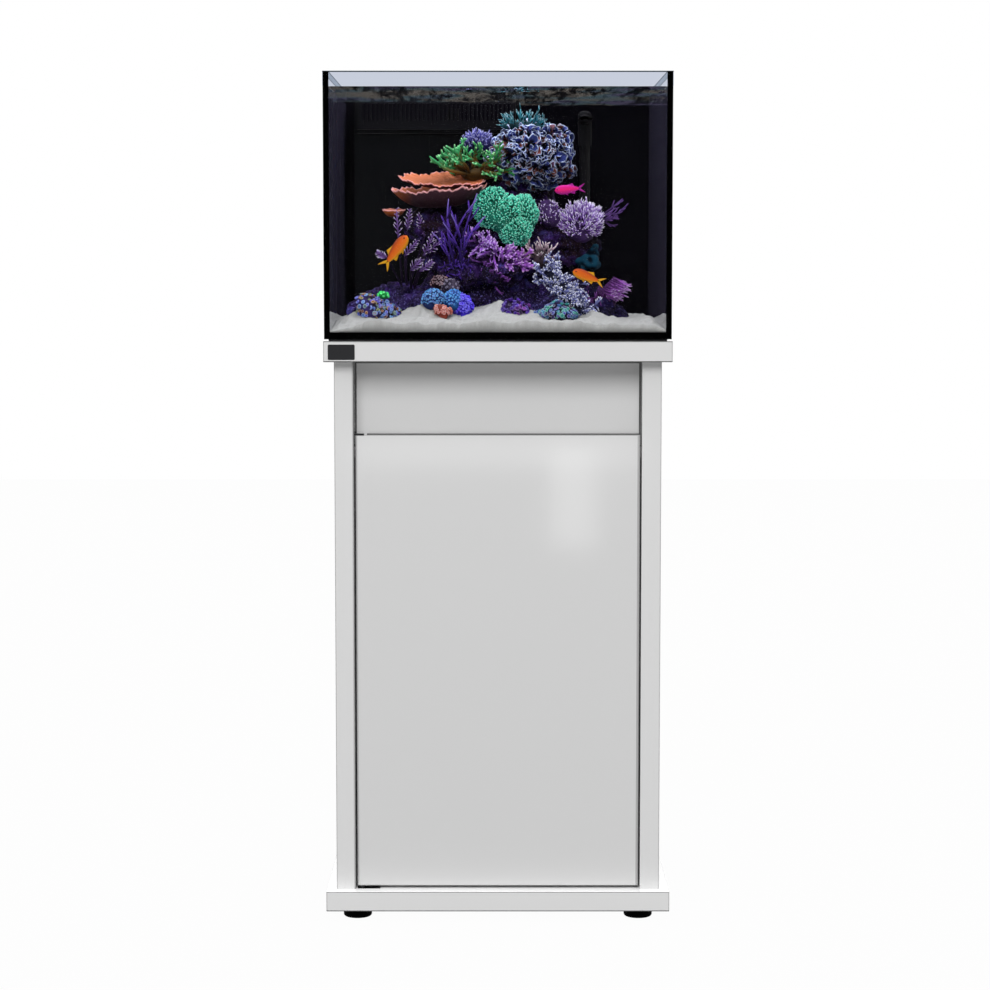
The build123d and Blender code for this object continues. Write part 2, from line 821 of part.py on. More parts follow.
def branching(place, reach, count, radius):
    """Forked branches fanned out of one foot: directions follow the golden angle over the upper half."""
    foot = Vector(place[0], place[1], tank_floor + place[2])
    golden = math.pi * (3 - math.sqrt(5))
    thin = radius * branch_thin
    solids = []
    for i in range(count):
        height = branch_low + (1 - branch_low) * (i + 0.5) / count
        flat = math.sqrt(1 - height * height)
        across, along = reach[0] * flat * math.cos(golden * i), reach[1] * flat * math.sin(golden * i)
        stem = Vector(across, along, reach[2] * height)
        tip = foot + stem
        knee = foot + stem * branch_knee
        end = tip - knee
        aside = stem.cross(Vector(0.3, 0.2, 1)).normalized() * end.length * branch_knee
        root = foot + stem.normalized() * radius * core_share * root_share
        fork = knee + end * fork_share + aside
        solids.append(branch(root, knee, radius, thin))
        solids.append(branch(knee - end * 0.1, tip, thin * 0.98, radius * branch_tip))
        solids.append(branch(knee - end * 0.12, fork, thin * 0.9, radius * branch_tip))
    core = boulder(place, (radius * core_share,) * 3, 0)
    return core.fuse(*solids)


def plate_coral():
    """Cup with a wavy rim: rings over angle and rise, outside then inside, closed at the rim and foot."""
    x, y, h = plate_place
    n = plate_steps

    def ring(share, inside):
        radius = plate_stem_radius + (plate_rim_radius - plate_stem_radius) * share ** plate_flare
        out = []
        for i in range(n):
            t = 2 * math.pi * i / n
            wave = plate_wave * share * math.sin(plate_waves * t + 0.6 * math.sin(2 * t))
            r = radius + wave - (plate_wall if inside else 0)
            z = tank_floor + h + plate_rise * share + wave + (plate_wall * (1 - share) if inside else 0)
            out.append(Vector(x + r * math.cos(t), y + plate_oval * r * math.sin(t), z))
        return out

    rings = [ring(s, False) for s in plate_rows] + [ring(s, True) for s in reversed(plate_rows)]
    points = [p for loop in rings for p in loop]
    loops = []
    for row in range(len(rings) - 1):
        for i in range(n):
            a, b = row * n + i, row * n + (i + 1) % n
            c, d = b + n, a + n
            loops += [(a, b, c), (a, c, d)]
    for row in (0, len(rings) - 1):
        middle = sum((points[row * n + i] for i in range(n)), Vector()) / n
        points.append(middle)
        hub = len(points) - 1
        loops += [(hub, row * n + i, row * n + (i + 1) % n) for i in range(n)]
    return polyhedron(points, loops)


def sand_bed(rock):
    """Rippled sand between the panes, with a front and a back profile, poured round the rock."""
    back = weir_front - sand_weir_gap

    def profile(y, heights):
        ridge = [(u * inner_half, y, tank_floor + z) for u, z in zip(sand_profile_x, heights)]
        return Wire.make_polygon(ridge + [(inner_half, y, tank_floor), (-inner_half, y, tank_floor)])

    bed = Solid.make_loft([profile(inner_front + seam, sand_front), profile(back, sand_back)], ruled=True)
    return bed.cut(*rock)


def reef():
    """Rock, sand and corals; each coral is cut by what it grows on, so it seats on the rock's own faces."""
    below = block(-tank_width, tank_width, -tank_depth, tank_depth, tank_low - tank_height, tank_floor)
    stones = [boulder(place, radii, rock_roughness) for place, radii in rocks]
    rock = stones[0].fuse(*stones[1:]).cut(below)
    pieces = {"reef_rock": rock.solids()}
    pieces["sand_bed"] = sand_bed(pieces["reef_rock"]).solids()
    lobes = [boulder(place, radii, ball_roughness) for place, radii in ball_lobes]
    grown = {
        "leaf_coral": [boulder(leaf_place, leaf_size, rock_roughness)],
        "plate_coral": [plate_coral()],
        "ball_coral": [lobes[0].fuse(*lobes[1:])],
        "green_branch_coral": [branching(*green_branch)],
        "crown_corals": [branching(*crown_branch), branching(*violet_tuft)],
        "lilac_bush_coral": [branching(*lilac_bush)],
        "magenta_branch_coral": [branching(*magenta_branch)],
        "blue_branch_coral": [branching(*blue_branch)],
        "purple_fan_coral": [branching(*purple_fan)],
        "twig_corals": [branching(*twig_spray), branching(*stick_group)],
        "polyp_mounds": [boulder(place, radii, rock_roughness) for place, radii in mounds],
    }
    settled = pieces["reef_rock"] + pieces["sand_bed"]
    for name, shapes in grown.items():
        pieces[name] = []
        for shape in shapes:
            trimmed = shape.cut(*[other for other in settled if may_touch(shape, other)])
            solids = trimmed.solids()
            least = max(s.volume for s in solids) * crumb_share
            kept = [s for s in solids if s.volume > least]
            settled = settled + kept
            pieces[name] += kept
    return pieces


def may_touch(shape, other):
    """True where the two boxes meet."""
    a, b = shape.bounding_box(), other.bounding_box()
    pairs = ((a.min.X, a.max.X, b.min.X, b.max.X), (a.min.Y, a.max.Y, b.min.Y, b.max.Y),
             (a.min.Z, a.max.Z, b.min.Z, b.max.Z))
    return all(low <= top and bottom <= high for low, high, bottom, top in pairs)


nodes = {
    "top_slab": [top_slab()],
    "plinth_slab": [plinth_slab()],
    "side_panel_left": [side_panel(-1)],
    "side_panel_right": [side_panel(1)],
    "cabinet_back_panel": [cabinet_back_panel()],
    "recess_fascia": [recess_fascia()],
    "cross_rail": [cross_rail()],
    "door_panel": [door_panel()],
    "hinge_bushes": hinge_bushes(),
    "hinge_blades": hinge_blades(),
    "catch_magnet": [catch_magnet()],
    "catch_strike": [catch_strike()],
    "foot_inserts": foot_inserts(),
    "levelling_mat": [levelling_mat()],
    "tank_bottom_pane": [tank_bottom_pane()],
    "tank_front_pane": [long_pane(tank_front)],
    "tank_back_pane": [long_pane(inner_rear)],
    "tank_left_pane": [side_pane(-1)],
    "tank_right_pane": [side_pane(1)],
    "silicone_seams": silicone_seams(),
    "weir_panels": weir_panels(),
    "weir_comb": [weir_comb()],
    "bulkhead_bodies": [bulkhead_body(*b) for b in bulkheads],
    "bulkhead_gaskets": [bulkhead_gasket(*b) for b in bulkheads],
    "bulkhead_nuts": [bulkhead_nut(*b) for b in bulkheads],
    "standpipes": standpipes(),
    "return_riser": [return_riser()],
    "return_nozzle": [return_nozzle()],
    "drain_pipe": drain_pipe(),
    "drain_valve_body": [drain_valve_body()],
    "drain_valve_lever": [drain_valve_lever()],
    "emergency_pipe": [emergency_pipe()],
    "return_pipe": [return_pipe()],
    "sump_panes": sump_panes(),
    "sump_baffles": sump_baffles(),
    "sock_holder": [sock_holder()],
    "filter_sock": [filter_sock()],
    "pump_housing": [pump_housing()],
    "pump_impeller": [pump_impeller()],
}
for corner, (foot_x, foot_y) in foot_places().items():
    nodes[f"foot_pad_{corner}"] = [foot_pad(foot_x, foot_y)]
    nodes[f"foot_stud_{corner}"] = [foot_stud(foot_x, foot_y)]
nodes.update(reef())

os.makedirs("parts", exist_ok=True)
for name, solids in nodes.items():
    shape = solids[0] if len(solids) == 1 else Compound(solids)
    export_step(shape, f"parts/{name}.step")
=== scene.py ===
"""Reef tank on a gloss cabinet: finishes, water, reef and stage around the CAD frame."""

import bpy
import numpy as np
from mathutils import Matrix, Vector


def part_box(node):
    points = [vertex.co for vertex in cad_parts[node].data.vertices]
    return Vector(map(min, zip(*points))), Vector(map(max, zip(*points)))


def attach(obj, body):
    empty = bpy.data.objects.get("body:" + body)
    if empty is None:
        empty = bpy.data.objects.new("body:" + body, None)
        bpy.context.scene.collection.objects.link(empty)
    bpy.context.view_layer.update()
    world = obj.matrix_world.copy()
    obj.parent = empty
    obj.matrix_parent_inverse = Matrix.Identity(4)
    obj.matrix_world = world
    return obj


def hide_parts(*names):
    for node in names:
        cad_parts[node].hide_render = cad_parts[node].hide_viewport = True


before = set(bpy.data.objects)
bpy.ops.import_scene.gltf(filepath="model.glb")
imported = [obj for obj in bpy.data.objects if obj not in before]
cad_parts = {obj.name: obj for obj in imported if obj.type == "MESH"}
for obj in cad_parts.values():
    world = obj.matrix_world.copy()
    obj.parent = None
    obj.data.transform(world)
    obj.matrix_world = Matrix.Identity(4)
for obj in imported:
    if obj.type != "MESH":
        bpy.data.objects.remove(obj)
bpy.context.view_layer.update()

bl_info = {
    "name": "Reef Tank on Cabinet",
    "version": (1, 0, 0),
    "blender": (4, 5, 0),
    "location": "View3D > Sidebar > Reef Tank",
    "description": "Dresses the reef tank's frame with finishes, water, sand, rock, corals and fish",
    "category": "Object",
}

BODY = "stand"
MM = 0.001
UP = np.array([0.0, 0.0, 1.0])
WHITE = (1.0, 1.0, 1.0, 1.0)
GLASS_INDEX = 1.45
WATER_INDEX = 1.33
WATER_TO_AIR = 0.75

# Places taken from the frame, in metres
TANK_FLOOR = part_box("tank_bottom_pane")[1][2]
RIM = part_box("tank_front_pane")[1][2]
INNER_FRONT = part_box("tank_front_pane")[1][1]
INNER_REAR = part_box("tank_back_pane")[0][1]
INNER_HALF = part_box("tank_right_pane")[0][0]
COMB_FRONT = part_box("weir_comb")[0][1]
WEIR_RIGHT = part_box("weir_panels")[1][0]
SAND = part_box("sand_bed")
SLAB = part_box("top_slab")
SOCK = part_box("filter_sock")


def paint(red, green, blue):
    """Linear colour with full alpha from display values of 0 to 255."""
    c = np.array([red, green, blue]) / 255
    linear = np.where(c <= 0.04045, c / 12.92, ((c + 0.055) / 1.055) ** 2.4)
    return (*linear.tolist(), 1.0)


def grey(value):
    """Linear grey from one display value."""
    return paint(value, value, value)


def shade(colour, factor):
    """Colour made darker or lighter."""
    return tuple(min(1.0, c * factor) for c in tuple(colour)[:3]) + (1.0,)


def pale(colour, share):
    """Colour mixed towards white."""
    return tuple(c + (1.0 - c) * share for c in tuple(colour)[:3]) + (1.0,)


# Settings

def colour_setting(name, description, shown):
    """Colour property whose default is given in display values."""
    return bpy.props.FloatVectorProperty(
        name=name, description=description, default=paint(*shown), size=4, min=0.0, max=1.0, subtype="COLOR")


class CabinetSettings(bpy.types.PropertyGroup):
    """Finish of the cabinet."""

    lacquer: colour_setting("Lacquer", "Colour of the gloss boards", (209, 209, 209))
    gloss: bpy.props.FloatProperty(
        name="Gloss roughness", description="Roughness of the lacquer", default=0.07, min=0.0, max=1.0,
        subtype="FACTOR")
    badge_size: bpy.props.FloatVectorProperty(
        name="Badge size", description="Width, thickness and height of the bare plate on the slab",
        default=(0.0465, 0.0006, 0.0266), size=3, unit="LENGTH")
    badge_corner: bpy.props.FloatVectorProperty(
        name="Badge corner",
        description="Left end and foot of the plate, from the slab's left end and underside",
        default=(0.008, 0.0038), size=2, unit="LENGTH")


class WaterSettings(bpy.types.PropertyGroup):
    """Water in the tank."""

    level: bpy.props.FloatProperty(
        name="Level", description="Height of the water's surface above the room's floor", default=1.4554,
        unit="LENGTH")
    ripple: bpy.props.FloatProperty(
        name="Ripple", description="Height of the ripples", default=0.0009, unit="LENGTH")
    ripple_length: bpy.props.FloatProperty(
        name="Ripple length", description="Usual length of a ripple", default=0.05, unit="LENGTH")


class ReefSettings(bpy.types.PropertyGroup):
    """Colours of the reef."""

    sand: colour_setting("Sand", "Sand bed", (152, 151, 150))
    rock: colour_setting("Rock", "Bare rock in shade", (16, 10, 24))
    crust: colour_setting("Crust", "Purple crust on the rock", (58, 32, 92))
    leaf: colour_setting("Leaf coral", "Flanks of the leafy colony", (58, 70, 142))
    leaf_rim: colour_setting("Leaf rims", "Rims of the leafy colony", (196, 208, 240))
    plate: colour_setting("Plate coral", "Upper side of the plates", (182, 102, 68))
    plate_rim: colour_setting("Plate rim", "Rims of the plates", (214, 152, 154))
    ball: colour_setting("Ball coral", "Polyps of the ball colony", (58, 192, 162))
    green: colour_setting("Green branches", "Antler colony", (64, 160, 98))
    crown: colour_setting("Crown tuft", "Fine branches on the top", (46, 124, 140))
    violet: colour_setting("Violet tuft", "Stubby tuft beside the crown", (88, 84, 176))
    lilac: colour_setting("Lilac bush", "Fingered bush", (132, 92, 178))
    magenta: colour_setting("Magenta branches", "Branches under the ball", (148, 90, 194))
    blue: colour_setting("Blue branches", "Pale hedge at the front", (108, 112, 168))
    antler: colour_setting("Pale antlers", "Small antlers above the hedge", (150, 124, 138))
    fan: colour_setting("Fan", "Fan at the right", (132, 74, 158))
    twig: colour_setting("Sprays", "Feathery sprays", (132, 98, 172))
    stick: colour_setting("Sticks", "Curving sticks", (84, 54, 160))


class StageSettings(bpy.types.PropertyGroup):
    """Camera, lamps and backdrop."""

    camera_place: bpy.props.FloatVectorProperty(
        name="Camera place", description="Camera position", default=(-0.005, -4.6705, 1.152), size=3,
        subtype="TRANSLATION")
    camera_tilt: bpy.props.FloatProperty(
        name="Camera tilt", description="Tilt below the horizon", default=np.radians(5.17), subtype="ANGLE")
    lens: bpy.props.FloatProperty(
        name="Lens", description="Focal length in millimetres on a 36 mm sensor", default=92.73, min=1.0,
        unit="CAMERA")
    ambient: bpy.props.FloatProperty(
        name="Ambient", description="Strength of the room's light from the sides", default=0.07, min=0.0,
        subtype="UNSIGNED")
    overhead: bpy.props.FloatProperty(
        name="Overhead", description="Strength of the room's light from above", default=1.6, min=0.0,
        subtype="UNSIGNED")
    key_power: bpy.props.FloatProperty(
        name="Key lamp", description="Power of the front softbox", default=540.0, min=0.0, unit="POWER")
    tank_power: bpy.props.FloatProperty(
        name="Tank lamp", description="Power of the lamp over the water", default=5.6, min=0.0, unit="POWER")


# Materials

def math_node(operation, reflected=False):
    """Method that joins a field and another value in a Math node; reflected puts the other first."""
    def method(field, other=0.0):
        first, second = (other, field) if reflected else (field, other)
        return field.nodes.add("ShaderNodeMath", {"operation": operation}, {0: first, 1: second})
    return method


class Field:
    """One value in a node tree. Arithmetic on it adds Math nodes."""

    def __init__(self, nodes, socket):
        self.nodes = nodes
        self.socket = socket

    __add__ = math_node("ADD")
    __radd__ = math_node("ADD", True)
    __sub__ = math_node("SUBTRACT")
    __rsub__ = math_node("SUBTRACT", True)
    __mul__ = math_node("MULTIPLY")
    __rmul__ = math_node("MULTIPLY", True)
    __gt__ = math_node("GREATER_THAN")
    __lt__ = math_node("LESS_THAN")
    __abs__ = math_node("ABSOLUTE")
    larger = math_node("MAXIMUM")


class Nodes:
    """A node tree and the few calls that the finishes need."""

    def __init__(self, tree, output):
        self.tree = tree
        tree.nodes.clear()
        self.output = tree.nodes.new(output)

    def add(self, kind, settings=None, values=None, out=0):
        """New node: settings first, then the values or links of its sockets; gives one of its outputs."""
        node = self.tree.nodes.new(kind)
        for key, value in (settings or {}).items():
            if key == "stops":
                self.set_stops(node.color_ramp, value)
            else:
                setattr(node, key, value)
        for key, value in (values or {}).items():
            socket = node.inputs[key]
            if isinstance(value, Field):
                self.tree.links.new(value.socket, socket)
            else:
                socket.default_value = value
        return Field(self, node.outputs[out])

    @staticmethod
    def set_stops(ramp, stops):
        """Ramp stops as (position, colour) pairs."""
        while len(ramp.elements) < len(stops):
            ramp.elements.new(0.5)
        for element, (position, colour) in zip(ramp.elements, stops):
            element.position = position
            element.color = colour

    def place(self):
        """Object coordinates."""
        return self.add("ShaderNodeTexCoord", out="Object")

    def axes(self):
        """Object coordinates as three values."""
        node = self.add("ShaderNodeSeparateXYZ", None, {0: self.place()}).socket.node
        return [Field(self, socket) for socket in node.outputs]

    def attribute(self, name):
        """A value kept at the mesh's points."""
        return self.add("ShaderNodeAttribute", {"attribute_name": name}, out="Fac")

    def noise(self, scale, detail=3.0, stretch=None):
        """Noise from 0 to 1 on object coordinates; stretch scales the three axes."""
        where = self.place()
        if stretch:
            where = self.add("ShaderNodeMapping", None, {"Vector": where, "Scale": stretch})
        return self.add("ShaderNodeTexNoise", None, {"Vector": where, "Scale": scale, "Detail": detail})

    def cells(self, scale):
        """Distance to the nearest of scattered points, on object coordinates."""
        return self.add("ShaderNodeTexVoronoi", None, {"Vector": self.place(), "Scale": scale})

    def ramp(self, value, stops):
        """Colour from a value."""
        return self.add("ShaderNodeValToRGB", {"stops": stops}, {0: value})

    def mix(self, factor, first, second, blend="MIX"):
        """Two colours mixed by a factor."""
        settings = {"data_type": "RGBA", "blend_type": blend}
        return self.add("ShaderNodeMix", settings, {0: factor, 6: first, 7: second}, out=2)

    def tint(self, colour, other):
        """Product of two colours."""
        return self.mix(1.0, colour, other, "MULTIPLY")

    def mask(self, value, low, high, light=255):
        """Black up to one value, rising to a grey at another."""
        return self.ramp(value, ((low, grey(0)), (high, grey(light))))

    def span(self, value, first, last, start, end):
        """Runs from start to end while the value goes from first to last."""
        return self.add("ShaderNodeMapRange", None, {0: value, 1: first, 2: last, 3: start, 4: end})

    def bump(self, height, strength, depth):
        """Normal from a height field; depth in metres."""
        return self.add("ShaderNodeBump", None, {"Height": height, "Strength": strength, "Distance": depth})

    def principled(self, values):
        """General shader."""
        return self.add("ShaderNodeBsdfPrincipled", None, values)

    def clear(self, colour):
        """Shader of a clear sheet that tints what is behind it."""
        return self.add("ShaderNodeBsdfTransparent", None, {"Color": colour})

    def gloss(self, colour, rough):
        """Mirror shader."""
        return self.add("ShaderNodeBsdfGlossy", None, {"Color": colour, "Roughness": rough})

    def fresnel(self, index):
        """Share of light that a clear surface throws back."""
        return self.add("ShaderNodeFresnel", None, {"IOR": index})

    def blend(self, factor, first, second):
        """Two shaders mixed by a factor."""
        return self.add("ShaderNodeMixShader", None, {0: factor, 1: first, 2: second})

    def show(self, shader):
        """Links a shader to the output."""
        self.tree.links.new(shader.socket, self.output.inputs["Surface"])

    def coat(self, colour, rough, specular, relief, painted_glow=0.0):
        """Shows a dull coat: relief is its height field, strength and depth; the last value gives the coat
        its own faint light in its own colour, painted light, as the coat is no lamp.
        """
        values = {
            "Base Color": colour,
            "Roughness": rough,
            "Specular IOR Level": specular,
            "Normal": self.bump(*relief),
        }
        # Emission in the coat's own colour: painted light from a surface that is no lamp
        if painted_glow:
            values.update({"Emission Color": colour, "Emission Strength": painted_glow})
        self.show(self.principled(values))


def finish(name):
    """Nodes of a new material; the material is kept as .material."""
    material = bpy.data.materials.new(name)
    material.use_nodes = True
    nodes = Nodes(material.node_tree, "ShaderNodeOutputMaterial")
    nodes.material = material
    return nodes


def lacquer_finish(settings, node, depth, edge_shade_and_highlight):
    """High gloss lacquer with a faint orange peel, on one board, as light as depth says: the plinth's lighter
    and the door's darker copy of the one lacquer are painted light and shade. Fine painted strips run beside
    the board's ends, as painted shade along its edges, gaps and recesses and, on the plinth's top face, a
    painted highlight: each is given by its axis, which end, where it begins and ends from there in
    millimetres, and its grey."""
    f = finish("white_lacquer_" + node)
    peel = f.noise(160.0, 2.0)
    cloud = f.noise(3.0, 2.0)
    # depth lightens the plinth and darkens the door: painted light and shade on one lacquer
    base = shade(settings.lacquer, depth)
    colour = f.mix(cloud, shade(base, 0.985), base)
    low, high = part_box(node)
    axes = f.axes()
    # Each strip paints a grey near one end: painted shade, and on the plinth's top face a painted highlight
    for axis, end, near, far, tone in edge_shade_and_highlight:
        edge = (high if end > 0 else low)[axis]
        first, last = sorted(edge - end * MM * reach for reach in (near, far))
        colour = f.mix((axes[axis] > first) * (axes[axis] < last), colour, grey(tone))
    f.show(f.principled({
        "Base Color": colour,
        "Roughness": settings.gloss + (cloud - 0.5) * 0.04,
        "Normal": f.bump(peel, 0.06, 0.0002),
    }))
    return f.material


def plain_finish(name, shown, rough, spread, grain, relief, specular=0.5, metal=0.0, depth=0.0003,
                 stretch=None):
    """Moulded, cast or turned surface: a colour that wavers by spread, and fine grain in gloss and relief."""
    f = finish(name)
    base = paint(*shown)
    fine = f.noise(grain, 3.0, stretch)
    f.show(f.principled({
        "Base Color": f.mix(fine, shade(base, 1 - spread), shade(base, 1 + spread)),
        "Roughness": rough + (fine - 0.5) * 0.12,
        "Specular IOR Level": specular,
        "Metallic": metal,
        "Normal": f.bump(fine, relief, depth),
    }))
    return f.material


def glass_finish(name, level, wet_side, tint):
    """Clear pane. Above the water it is tinted, with a dark line under its ground top edge. On the wet inner
    side of a side pane, light that comes slantwise out of the water is thrown back, as Fresnel's law has it
    for water to air, and a faint film on the glass dims it."""
    f = finish(name)
    x, _, z = f.axes()
    dry = z > level
    line = z > RIM - 1.6 * MM
    edge = z > RIM - 0.3 * MM
    through = f.clear((0.985, 0.99, 0.99, 1.0))
    for part, colour in ((dry, tint), (line, (0.12, 0.13, 0.15, 1.0)), (edge, (0.55, 0.6, 0.64, 1.0))):
        through = f.blend(part, through, f.clear(colour))
    mirror = f.gloss(WHITE, 0.02)
    factor = f.fresnel(GLASS_INDEX) * 0.015
    if wet_side:
        inner = (abs(x) < INNER_HALF + 0.4 * MM) * (1 - dry)
        thrown = f.fresnel(WATER_TO_AIR)
        factor = factor + inner * (thrown > 0.5) * (thrown - factor)
        film = f.add("ShaderNodeBsdfDiffuse", None, {"Color": paint(92, 87, 112)})
        mirror = f.blend(inner * 0.16, mirror, film)
    f.show(f.blend(factor, through, mirror))
    return f.material


def thin_glass_finish(name, tint, shine):
    """Clear sheet of one tint."""
    f = finish(name)
    f.show(f.blend(f.fresnel(GLASS_INDEX) * shine, f.clear(tint), f.gloss(WHITE, 0.03)))
    return f.material


def water_finish():
    """Water's surface: clear from above, and a mirror from below where light comes slantwise. In the mirror,
    streaks of the ripples show brownish, teal or violet patches by place, lit through by the lamp: a painted
    reflection of the reef."""
    f = finish("water")
    # The brown, teal and violet translucent patches are a painted reflection of the reef in the water's
    # underside
    brown, teal, violet = (f.add("ShaderNodeBsdfTranslucent", None, {"Color": paint(*tone)})
                           for tone in ((46, 43, 40), (30, 40, 43), (36, 33, 45)))
    broad = f.noise(7.0, 2.0)
    cast = f.blend(f.mask(broad, 0.44, 0.54), brown, teal)
    cast = f.blend(f.mask(broad, 0.54, 0.64), cast, violet)
    reflection_streak = f.noise(1.0, 4.0, (110.0, 12.0, 1.0)) + f.noise(1.0, 2.0, (22.0, 5.0, 1.0)) * 0.9
    share = f.ramp(reflection_streak, ((0.8, grey(60)), (1.08, grey(245))))
    mirror = f.fresnel(WATER_INDEX)
    under = f.blend((mirror > 0.6) * share, f.gloss((0.9, 0.95, 1.0, 1.0), 0.03), cast)
    f.show(f.blend(mirror, f.clear((0.97, 0.985, 0.99, 1.0)), under))
    return f.material


def coral_finish(name, stops, grain=420.0, painted_glow=0.1, rough=0.6, across=None):
    """Colour runs from root to tip over the stops, their dark low end being painted shade deep among the
    shoots, and wavers from shoot to shoot; fine pores give the relief, and a faint emission in the colour is
    painted light. Across gives a second hue that is taken on from one x to another."""
    f = finish(name)
    pores = f.noise(grain, 3.0)
    colour = f.ramp(f.attribute("tip") + (pores - 0.5) * 0.3, stops)
    if across:
        hue, first, last = across
        colour = f.mix(f.span(f.axes()[0], first, last, 0.0, 0.85), colour, f.tint(colour, hue))
    colour = f.tint(colour, f.attribute("tone") * 0.6 + 0.7)
    # Last value: emission, painted light from a coral that is no lamp
    f.coat(colour, rough + (pores - 0.5) * 0.3, 0.12, (pores, 0.5, 0.0012), painted_glow)
    return f.material


def leaf_finish(reef):
    """Blue petals and some brown ones, with pale rims, in painted patches of light and shade, with painted
    shade low down and at the petals' dark bases; a faint emission is painted light.
    """
    f = finish("leaf_coral")
    pores = f.noise(420.0, 3.0)
    rim = f.attribute("tip") + (pores - 0.5) * 0.16
    leaf = tuple(reef.leaf)
    edge = (0.99, tuple(reef.leaf_rim))
    # Darkest stops at the petal bases: painted shade between the petals
    blue = f.ramp(rim, ((0.25, paint(8, 6, 22)), (0.66, leaf), (0.88, leaf), edge))
    brown = f.ramp(rim, ((0.2, paint(26, 14, 24)), (0.6, paint(124, 70, 62)), (0.88, paint(134, 84, 84)),
                         edge))
    colour = f.mix(f.mask(f.attribute("tone"), 0.66, 0.74), blue, brown)
    # Painted shade low down on the colony, then broad painted patches of light and shade
    height = f.span(f.axes()[2], TANK_FLOOR + 0.25, TANK_FLOOR + 0.31, 0.25, 1.0)
    colour = f.tint(colour, ((f.noise(44.0, 2.0) - 0.5) * 3.2 + 0.85) * height)
    # Last value: emission, painted light from a coral that is no lamp
    f.coat(colour, 0.55, 0.15, (pores, 0.4, 0.001), 0.06)
    return f.material


def plate_finish(reef):
    """Plates: warm on the upper side, mauve or, at the left, amber on the under side, with a pale rim."""
    f = finish("plate_coral")
    pores = f.noise(300.0, 4.0)
    tip = f.attribute("tip") + (pores - 0.5) * 0.08
    left = f.span(f.axes()[0], -0.15, -0.185, 0.0, 1.0)
    warm = tuple(reef.plate)
    rim = (0.99, tuple(reef.plate_rim))
    over = f.ramp(tip, ((0.0, shade(warm, 0.4)), (0.6, shade(warm, 0.8)), (0.94, warm), rim))
    mauve = f.ramp(tip, ((0.0, paint(32, 15, 20)), (0.45, paint(40, 22, 28)), (0.94, paint(62, 38, 46)), rim))
    amber = f.ramp(tip, ((0.0, paint(30, 12, 8)), (0.5, paint(100, 46, 18)), (0.94, paint(150, 78, 38)), rim))
    colour = f.mix(f.attribute("tone"), f.mix(left, mauve, amber), over)
    # Last value: emission, painted light from a coral that is no lamp
    f.coat(colour, 0.6, 0.12, (pores, 0.6, 0.0015), 0.06)
    return f.material


def polyp_finish(name, dark, hues, light):
    """Polyps each of its own hue, with a pale rim of the given light, on a dark mound."""
    f = finish(name)
    pores = f.noise(500.0, 3.0)
    tip = f.attribute("tip") + (pores - 0.5) * 0.2
    step = 1.0 / (len(hues) - 1)
    hue = f.ramp(f.attribute("tone"), [(i * step, paint(*tone)) for i, tone in enumerate(hues)])
    colour = f.mix(f.mask(tip, 0.15, 0.4), paint(*dark), hue)
    colour = f.mix(f.mask(tip, 0.82, 1.0, light), colour, paint(226, 236, 250))
    # Last value: emission, painted light from a coral that is no lamp
    f.coat(colour, 0.55, 0.15, (pores, 0.5, 0.001), 0.08)
    return f.material


def fish_finish(name, stops):
    """Scales that run from belly to back over the stops, and dark eyes; a faint emission in their colour is
    painted light.
    """
    f = finish(name)
    scales = f.cells(420.0)
    colour = f.mix(f.attribute("tone") > 0.9, f.ramp(f.attribute("tip"), stops), paint(22, 10, 26))
    # Last value: emission, painted light from a fish that is no lamp
    f.coat(colour, 0.45 + scales * 0.2, 0.2, (scales, 0.25, 0.0005), 0.05)
    return f.material


def sand_finish(base):
    """Fine grains, lighter and darker, with broad drifts."""
    f = finish("fine_sand")
    grain = f.noise(1500.0, 2.0)
    drift = f.noise(26.0, 3.0)
    speck = f.ramp(grain, ((0.3, shade(base, 0.84)), (0.5, tuple(base)), (0.72, pale(base, 0.14))))
    f.coat(f.mix(drift * 0.16, speck, shade(base, 0.7)), 0.95, 0.05, (grain + drift, 0.5, 0.001))
    return f.material


def rock_finish(reef):
    """Dark rock with purple crust and brown patches, lighter and specked at its foot, with painted shade at
    the right.
    """
    f = finish("crusted_rock")
    patch = f.noise(34.0, 4.0)
    pits = f.noise(190.0, 5.0)
    x, _, z = f.axes()
    colour = f.ramp(patch, ((0.45, tuple(reef.rock)), (0.58, tuple(reef.crust)), (0.7, paint(80, 76, 156))))
    colour = f.mix(f.mask(f.noise(17.0, 3.0, (1, 1, 1.6)), 0.42, 0.6), colour, paint(34, 20, 30))
    low = f.span(z, TANK_FLOOR + 0.12, TANK_FLOOR + 0.03, 0.0, 0.45)
    colour = f.mix(low * patch, colour, paint(58, 54, 130))
    colour = f.tint(colour, pits * 2.6 - 0.5)
    specks = f.mask(f.noise(300.0, 2.0), 0.58, 0.68)
    colour = f.mix(specks * (low + 0.2), colour, paint(124, 116, 196))
    # Painted shade: the rock darkens towards the right
    colour = f.tint(colour, f.span(x, 0.13, 0.17, 1.0, 0.3))
    f.coat(colour, 0.85, 0.1, (pits + patch, 0.9, 0.004))
    return f.material


def felt_finish():
    """White felt."""
    f = finish("white_felt")
    fibre = f.noise(900.0, 4.0)
    f.show(f.principled({
        "Base Color": f.ramp(fibre, ((0.25, paint(196, 194, 186)), (0.75, paint(236, 235, 230)))),
        "Roughness": 0.95,
        "Specular IOR Level": 0.1,
        "Sheen Weight": 0.3,
        "Normal": f.bump(fibre, 0.7, 0.0015),
    }))
    return f.material


def dress(material, *names):
    """Gives CAD nodes their finish."""
    for name in names:
        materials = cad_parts[name].data.materials
        materials.clear()
        materials.append(material)


def fit_out(rows):
    """Gives the nodes of each row the plain finish that the row describes."""
    for name, shown, rough, spread, grain, relief, more, nodes in rows:
        dress(plain_finish(name, shown, rough, spread, grain, relief, **more), *nodes)


# Surfaces

